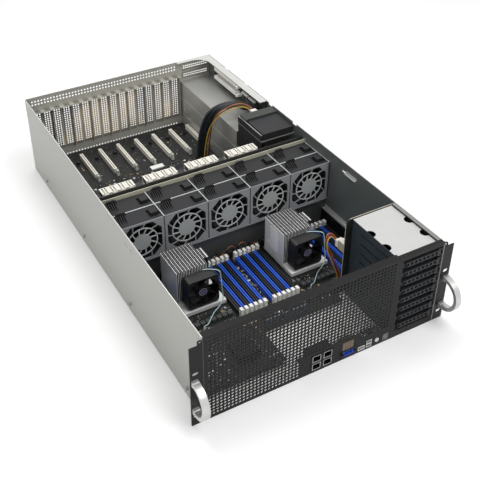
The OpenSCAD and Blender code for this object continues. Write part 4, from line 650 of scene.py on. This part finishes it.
BUNDLE_ROUTE = [(100, 228, 26.4), (100, 228, 36), (102, 228, 62), (108, 224, 100), (120, 216, 134),
                (142, 207, 151), (168, 201, 153), (186, 197, 144), (196, 196, 141), (203.7, 196, 141)]
BUNDLE_SHARES = [(1, 0, 0), (1, 0, 0), (1, 0, 0), (0.96, -0.3, 0), (0.8, -0.6, 0), (0.4, -0.92, 0),
                 (0.1, -1, 0), (0, -1, 0), (0, -1, 0), (0, -1, 0)]
DRIVE_ROUTE = [(103, 206, 26.4), (103, 206, 36), (105, 204, 65), (111, 196, 108), (124, 182, 140),
               (146, 168, 158), (164, 159, 164), (178, 155, 160), (183, 148, 154.4), (183, 139.8, 154.4)]
DRIVE_SHARES = [(1, 0, 0), (1, 0, 0), (1, 0, 0), (0.8, 0.2, 0.6), (0.4, 0.5, 0.9), (0.2, 0.6, 0.9),
                (0.3, 0.7, 0.8), (0.7, 0.6, 0.4), (1, 0, 0), (1, 0, 0)]
BACK_ROUTE = [(125, -254.5, 23.2), (125, -254.5, 32), (121, -252, 47), (112, -250, 70), (104, -249, 92),
              (102, -248, 107), (107, -246, 117), (116, -244, 115), (122, -245, 106), (124, -249, 102),
              (124, -256, 102)]
BACK_SHARES = [(1, 0, 0), (1, 0, 0), (1, 0, 0), (1, 0.2, 0), (0.8, 0.6, 0), (0.4, 0.9, 0.2), (0, 0.9, 0.5),
               (0, 0.6, 0.8), (0, 0.3, 1), (0, 0, 1), (0, 0, 1)]
COOLER_ROUTE = [(6, -176, 82.2), (14, -179, 82.4), (22, -185, 83.2), (28, -190, 83), (31, -194, 78),
                (31, -199, 52), (31, -203, 28), (22, -208, 19.5), (6, -217, 18), (-6, -228, 19),
                (-18, -240, 21), (-27, -245.5, 25), (-30, -247, 22), (-30, -247, 17.1)]


def strands(name, route, shares, pitch, radius, colours):
    """Lead number i runs through route + i * pitch * shares."""
    build, used = Build(), sorted(set(colours))
    for i, colour in enumerate(colours):
        line = curve(np.array(route) + i * pitch * np.array(shares))
        build.tube(line, radius, 12, used.index(colour))
    made = build.piece(name, "chassis", "lead_sheath", [leads[c] for c in used], smooth=True)
    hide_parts("cable_harness")


BUNDLE_PITCH, BUNDLE_RADIUS = 7.8, 3.6
LEAD_PITCH, LEAD_RADIUS, FAN_LEAD_RADIUS = 3.2, 1.1, 0.9
strands("power_bundle", BUNDLE_ROUTE, BUNDLE_SHARES, BUNDLE_PITCH, BUNDLE_RADIUS, ["sleeve"] * 3)
strands("drive_leads", DRIVE_ROUTE, DRIVE_SHARES, LEAD_PITCH, LEAD_RADIUS,
        ["yellow", "black", "orange", "black"])
strands("backplane_leads", BACK_ROUTE, BACK_SHARES, LEAD_PITCH, LEAD_RADIUS, ["yellow", "red", "orange"])
for side, x in zip(("left", "right"), COOLERS):
    route = np.array(COOLER_ROUTE) + (x, 0, 0)
    strands(f"cooler_lead_{side}", route, np.zeros(route.shape), 0, FAN_LEAD_RADIUS, ["pale"])

# %% [markdown]
# ## What is soldered on the boards
# A server board is crowded with parts a millimetre or two long. Each free stretch of board gets a shaken
# grid of them: a seeded random draw picks which places are used and how large each part is, so the
# pattern is the same on every run. They are plain bricks, but their paints differ: dark chips, tan and
# silver ceramics, white headers.

# %% Soldered parts
PART_PAINTS = [powder("chip_black", (0.02, 0.02, 0.021), 0.4).done(),
               powder("ceramic_tan", (0.32, 0.23, 0.13), 0.4).done(),
               zinc("solder_silver", (0.34, 0.34, 0.33), 0.34, 0.7).done(),
               powder("header_white", (0.70, 0.69, 0.64), 0.45).done()]
PART_SIZES = np.array([(1.0, 0.6, 0.5), (1.6, 0.9, 0.6), (2.2, 1.3, 0.9), (3.2, 1.7, 1.2),
                       (4.5, 4.0, 1.1)])
SIZE_SHARES = (0.32, 0.3, 0.2, 0.12, 0.06)
PAINT_SHARES = (0.46, 0.26, 0.22, 0.06)


def scatter(build, zone, top, pitch, keep, seed, tall=1.0):
    """Bricks on a grid of that pitch, each shaken by up to a tenth of it, in clusters: the share that is
    kept is three times higher where cos(x / 9 mm) cos(y / 14 mm) is above zero. zone is x0, x1, y0, y1."""
    rng = np.random.default_rng(seed)
    x, y = np.meshgrid(np.arange(zone[0], zone[1], pitch), np.arange(zone[2], zone[3], pitch))
    place = np.stack([x.ravel(), y.ravel()], 1)
    dense = np.cos(place[:, 0] / 9) * np.cos(place[:, 1] / 14) > 0
    place = place[rng.random(len(place)) < np.where(dense, 1.2, 0.4) * keep]
    place += rng.uniform(-pitch / 10, pitch / 10, place.shape)
    size = PART_SIZES[rng.choice(len(PART_SIZES), len(place), p=SIZE_SHARES)]
    turned = rng.random(len(place)) < 0.5
    size[turned] = size[turned][:, [1, 0, 2]]
    paint = rng.choice(len(PART_PAINTS), len(place), p=PAINT_SHARES)
    for k in range(len(PART_PAINTS)):
        pick = paint == k
        if pick.any():
            low = np.c_[place[pick] - size[pick, :2] / 2, np.full(pick.sum(), top)]
            build.bricks(low, low + size[pick] * (1, 1, tall), k)


MAIN_ZONES = [(-212, -125, -358, -247), (-76, -53, -358, -247), (-70, 66, -266, -248),
              (-150, -67, -221, -203), (64, 142, -221, -203), (-153, -70, -246, -235),
              (61, 112, -246, -235), (-48, 108, -271, -266)]
CARD_ZONES = [(-210, 136, 78, 96), (-210, 90, 96, 214), (-150, 90, 224, 246), (-210, -176, 256, 386)]
main_parts = Build()
for number, zone in enumerate(MAIN_ZONES):
    scatter(main_parts, zone, MAIN_TOP, 3.0, 0.62, 40 + number)
# A row of grey and brown parts between the two middle groups of memory slots
scatter(main_parts, (-8.6, -3.0, -238, -110), MAIN_TOP, 2.3, 0.9, 70, 2.4)
# The strip of board behind the memory slots, towards the fans
scatter(main_parts, (-205, 205, -99.5, -84), MAIN_TOP, 3.4, 0.7, 71, 2.0)
main_parts.piece("main_board_parts", "chassis", "main_board", PART_PAINTS)

card_parts = Build()
for number, zone in enumerate(CARD_ZONES):
    scatter(card_parts, zone, CARD_TOP, 3.6, 0.42, 60 + number)
# Thinner between the card slots
for k in range(7):
    x = CARD_FIRST + CARD_PITCH * k
    scatter(card_parts, (x + 8, x + 32, 268, 384), CARD_TOP, 4.4, 0.2, 80 + k)
card_parts.piece("card_board_parts", "chassis", "expansion_board", PART_PAINTS)

# %% [markdown]
# ## Behind the memory slots
# The strip between the memory slots and the fans holds plugs, coils and a few arched leads. White plugs,
# a ledge and a bracket on the wall, and a plain label on one cooler complete the inside.

# %% Behind the memory slots
# Between the memory slots and the fans stand black plugs, grey coils in cans and a few copper ones
rng = np.random.default_rng(7)
strip = Build()
places = np.arange(-206, 150, 11.5)
for number, x in enumerate(places):
    low = np.array([x + rng.uniform(0, 1.5), -99 + rng.uniform(0, 2), MAIN_TOP])
    if number % 6 == 4:
        strip.turned([(4.2, 0), (4.2, 11), (3.4, 12)], [(low[0] + 4.5, -92, MAIN_TOP)], paint=1)
    elif number % 6 == 2:
        strip.bricks(low, low + (8.5, 10, 9 + rng.uniform(0, 3)), 2)
        strip.bricks(low + (1.5, 1.5, 8.9), low + (7, 8.5, 12.4), 0)
    else:
        high = 15 + rng.uniform(0, 6)
        strip.bricks(low, low + (9.5, 6.5, high), 0)
        strip.bricks(low + (1, 1, high), low + (8.5, 5.5, high + 1.6), 0)
strip.piece("rear_strip_parts", "chassis", "main_board",
            [powder("plug_black", (0.015, 0.015, 0.016), 0.4).done(),
             zinc("copper_can", (0.42, 0.20, 0.09), 0.4, 0.5).done(),
             zinc("coil_grey", (0.22, 0.22, 0.22), 0.45, 0.4).done()], bevel=0.4)

# Copper-brown leads that rise from those plugs in low arches and come down again
loops = Build()
turn = np.linspace(0, np.pi, 15)
for number in range(5):
    start, span, high = -40 + 14 * number, 17 + 3 * (number % 3), 10 + 4 * (number % 3)
    across = start + span * (1 - np.cos(turn)) / 2
    arch = np.c_[across, np.full(len(turn), -96.0 + 2.2 * number), 16 + high * np.sin(turn)]
    loops.tube(arch, LEAD_RADIUS, 8, number % 2)
loops.piece("fan_leads", "chassis", "lead_sheath",
            [sheath("copper_brown", (0.22, 0.09, 0.04)), leads["black"]], smooth=True)

# White plugs: on the side board, at the small drive, on the backplane's power lead, on the card board
plugs = Build()
plugs.bricks([(208.5, 205, 152), (208.5, 176, 151.2), (181.5, 139.7, 150.8), (118.8, -255.8, 98.6),
              (-9, 238, CARD_TOP), (-150, 180, CARD_TOP), (-60, 196, CARD_TOP), (30, 150, CARD_TOP)],
             [(213, 229, 157), (213, 201, 155.7), (194.5, 148, 158.2), (131.4, -248.5, 112.4),
              (21, 251, 20), (-132, 187, 23), (-46, 202, 22), (40, 164, 23)])
plugs.piece("white_plugs", "chassis", "socket_plastic",
            [powder("plug_white", (0.80, 0.79, 0.75), 0.42).done()], bevel=0.4)

# Ledge low on the right wall beside the memory slots: a folded channel with two light edges
ledge = Build()
ledge.bricks([(211, -264, 41), (211, -264, 42.2), (217.6, -264, 42.2)],
             [(218.7, -81.5, 42.2), (212.1, -81.5, 46), (218.7, -81.5, 48)])
ledge.bricks((211, -264, 12), (211.9, -81.5, 41), 1)
ledge.piece("wall_ledge", "chassis", "body_steel",
            [zinc("ledge_zinc", (0.52, 0.52, 0.50), 0.4, 0.4).done(), powder("ledge_black").done()],
            bevel=0.2)

# Small bracket on the inside of the right wall
bracket = Build()
bracket.bricks([(217.6, -170, 152), (213.4, -170, 152)], [(218.7, -138, 157), (217.6, -138, 153.2)])
bracket.piece("wall_bracket", "chassis", "body_steel",
              [zinc("bracket_zinc", (0.42, 0.42, 0.40), 0.4, 0.4).done()], bevel=0.3)

# Plain paper label on the left face of the right cooler
label = Build()
label.bricks((COOLERS[1] - 42.35, -154, 38), (COOLERS[1] - 42.0, -128, 84))
label.piece("blank_label", "chassis", "cooler_metal",
            [powder("label_paper", (0.82, 0.82, 0.80), 0.5).done()])

# %% [markdown]
# ## Round capacitors
# Small aluminium cans, each a profile turned about its own axis: tall silver ones near the coolers, low
# dark ones between the card slots.

# %% Round capacitors
def can(radius, height):
    """Profile of an aluminium can: crimped foot, straight side, round shoulder, flat top."""
    return [(radius * 0.92, 0), (radius, 0.5), (radius, 1.2), (radius * 0.95, 1.6), (radius, 2.0),
            (radius, height - 0.5), (radius * 0.9, height), (radius * 0.4, height)]


cans = Build()
cans.turned(can(3.1, 8), [(-168 + 9 * k, -262, MAIN_TOP) for k in range(4)]
            + [(86 + 8 * k, -258, MAIN_TOP) for k in range(2)], paint=0)
cans.turned(can(4.5, 6), [(-183 + CARD_PITCH * k, 342, CARD_TOP) for k in range(8)], paint=1)
cans.turned(can(3.2, 8), [(-190 + CARD_PITCH * k, 220, CARD_TOP) for k in range(7)], paint=0)
cans.piece("capacitors", "chassis", "expansion_board",
           [zinc("can_silver", (0.66, 0.66, 0.65), 0.3, 0.9).done(),
            powder("can_black", (0.02, 0.02, 0.022), 0.35).done()], smooth=True)


# %% [markdown]
# ## Stage
# A wide pale floor under the body and a pale sky. Lamps and sky together light a white sheet to just
# under white, so colours come out as they are written.

# %% Stage
def make_floor(half=12.0):
    """A square of two half lengths, just under the body's underside."""
    mesh = bpy.data.meshes.new("floor")
    corners = [(-half, -half), (half, -half), (half, half), (-half, half)]
    mesh.from_pydata([(x, y, cad_box[0].z - 0.0005) for x, y in corners], [], [(0, 1, 2, 3)])
    floor = bpy.data.objects.new("floor", mesh)
    bpy.context.scene.collection.objects.link(floor)
    pale = Finish("floor_white", (0.93, 0.93, 0.93), 0.9)
    mesh.materials.append(pale.done())


def make_sky(strength=0.55):
    """White to the camera and in mirrors, dimmer as a light."""
    world = bpy.data.worlds.new("sky")
    bpy.context.scene.world = world
    world.use_nodes = True
    tree = world.node_tree
    rays = tree.nodes.new("ShaderNodeLightPath")
    back = tree.nodes["Background"]
    seen = None
    for name in ("Is Camera Ray", "Is Glossy Ray", "Is Transmission Ray"):
        step = tree.nodes.new("ShaderNodeMath")
        step.operation = "MAXIMUM"
        tree.links.new(rays.outputs[name], step.inputs[0])
        if seen is None:
            step.inputs[1].default_value = 0
        else:
            tree.links.new(seen.outputs[0], step.inputs[1])
        seen = step
    level = tree.nodes.new("ShaderNodeMapRange")
    tree.links.new(seen.outputs[0], level.inputs[0])
    level.inputs[3].default_value = strength
    level.inputs[4].default_value = 1.0
    tree.links.new(level.outputs[0], back.inputs["Strength"])
    back.inputs["Color"].default_value = (1, 1, 1, 1)


def make_lamp(name, place, target, size, power):
    """A square area lamp at place that looks at target."""
    data = bpy.data.lights.new(name, "AREA")
    data.size, data.energy = size, power
    lamp = bpy.data.objects.new(name, data)
    bpy.context.scene.collection.objects.link(lamp)
    lamp.location = place
    lamp.rotation_euler = (Vector(target) - Vector(place)).to_track_quat("-Z", "Y").to_euler()


make_floor()
make_sky()
# Place and target in metres, size in metres, power in watts
make_lamp("key", (0.7, -1.3, 2.7), (0, 0, 0.1), 1.6, 44)
make_lamp("top", (-0.2, 0.9, 2.5), (0, 0, 0.1), 1.4, 24)
make_lamp("fill", (-2.1, -1.5, 1.3), (0, -0.1, 0.1), 1.6, 14)
bpy.context.scene.view_settings.view_transform = "Standard"
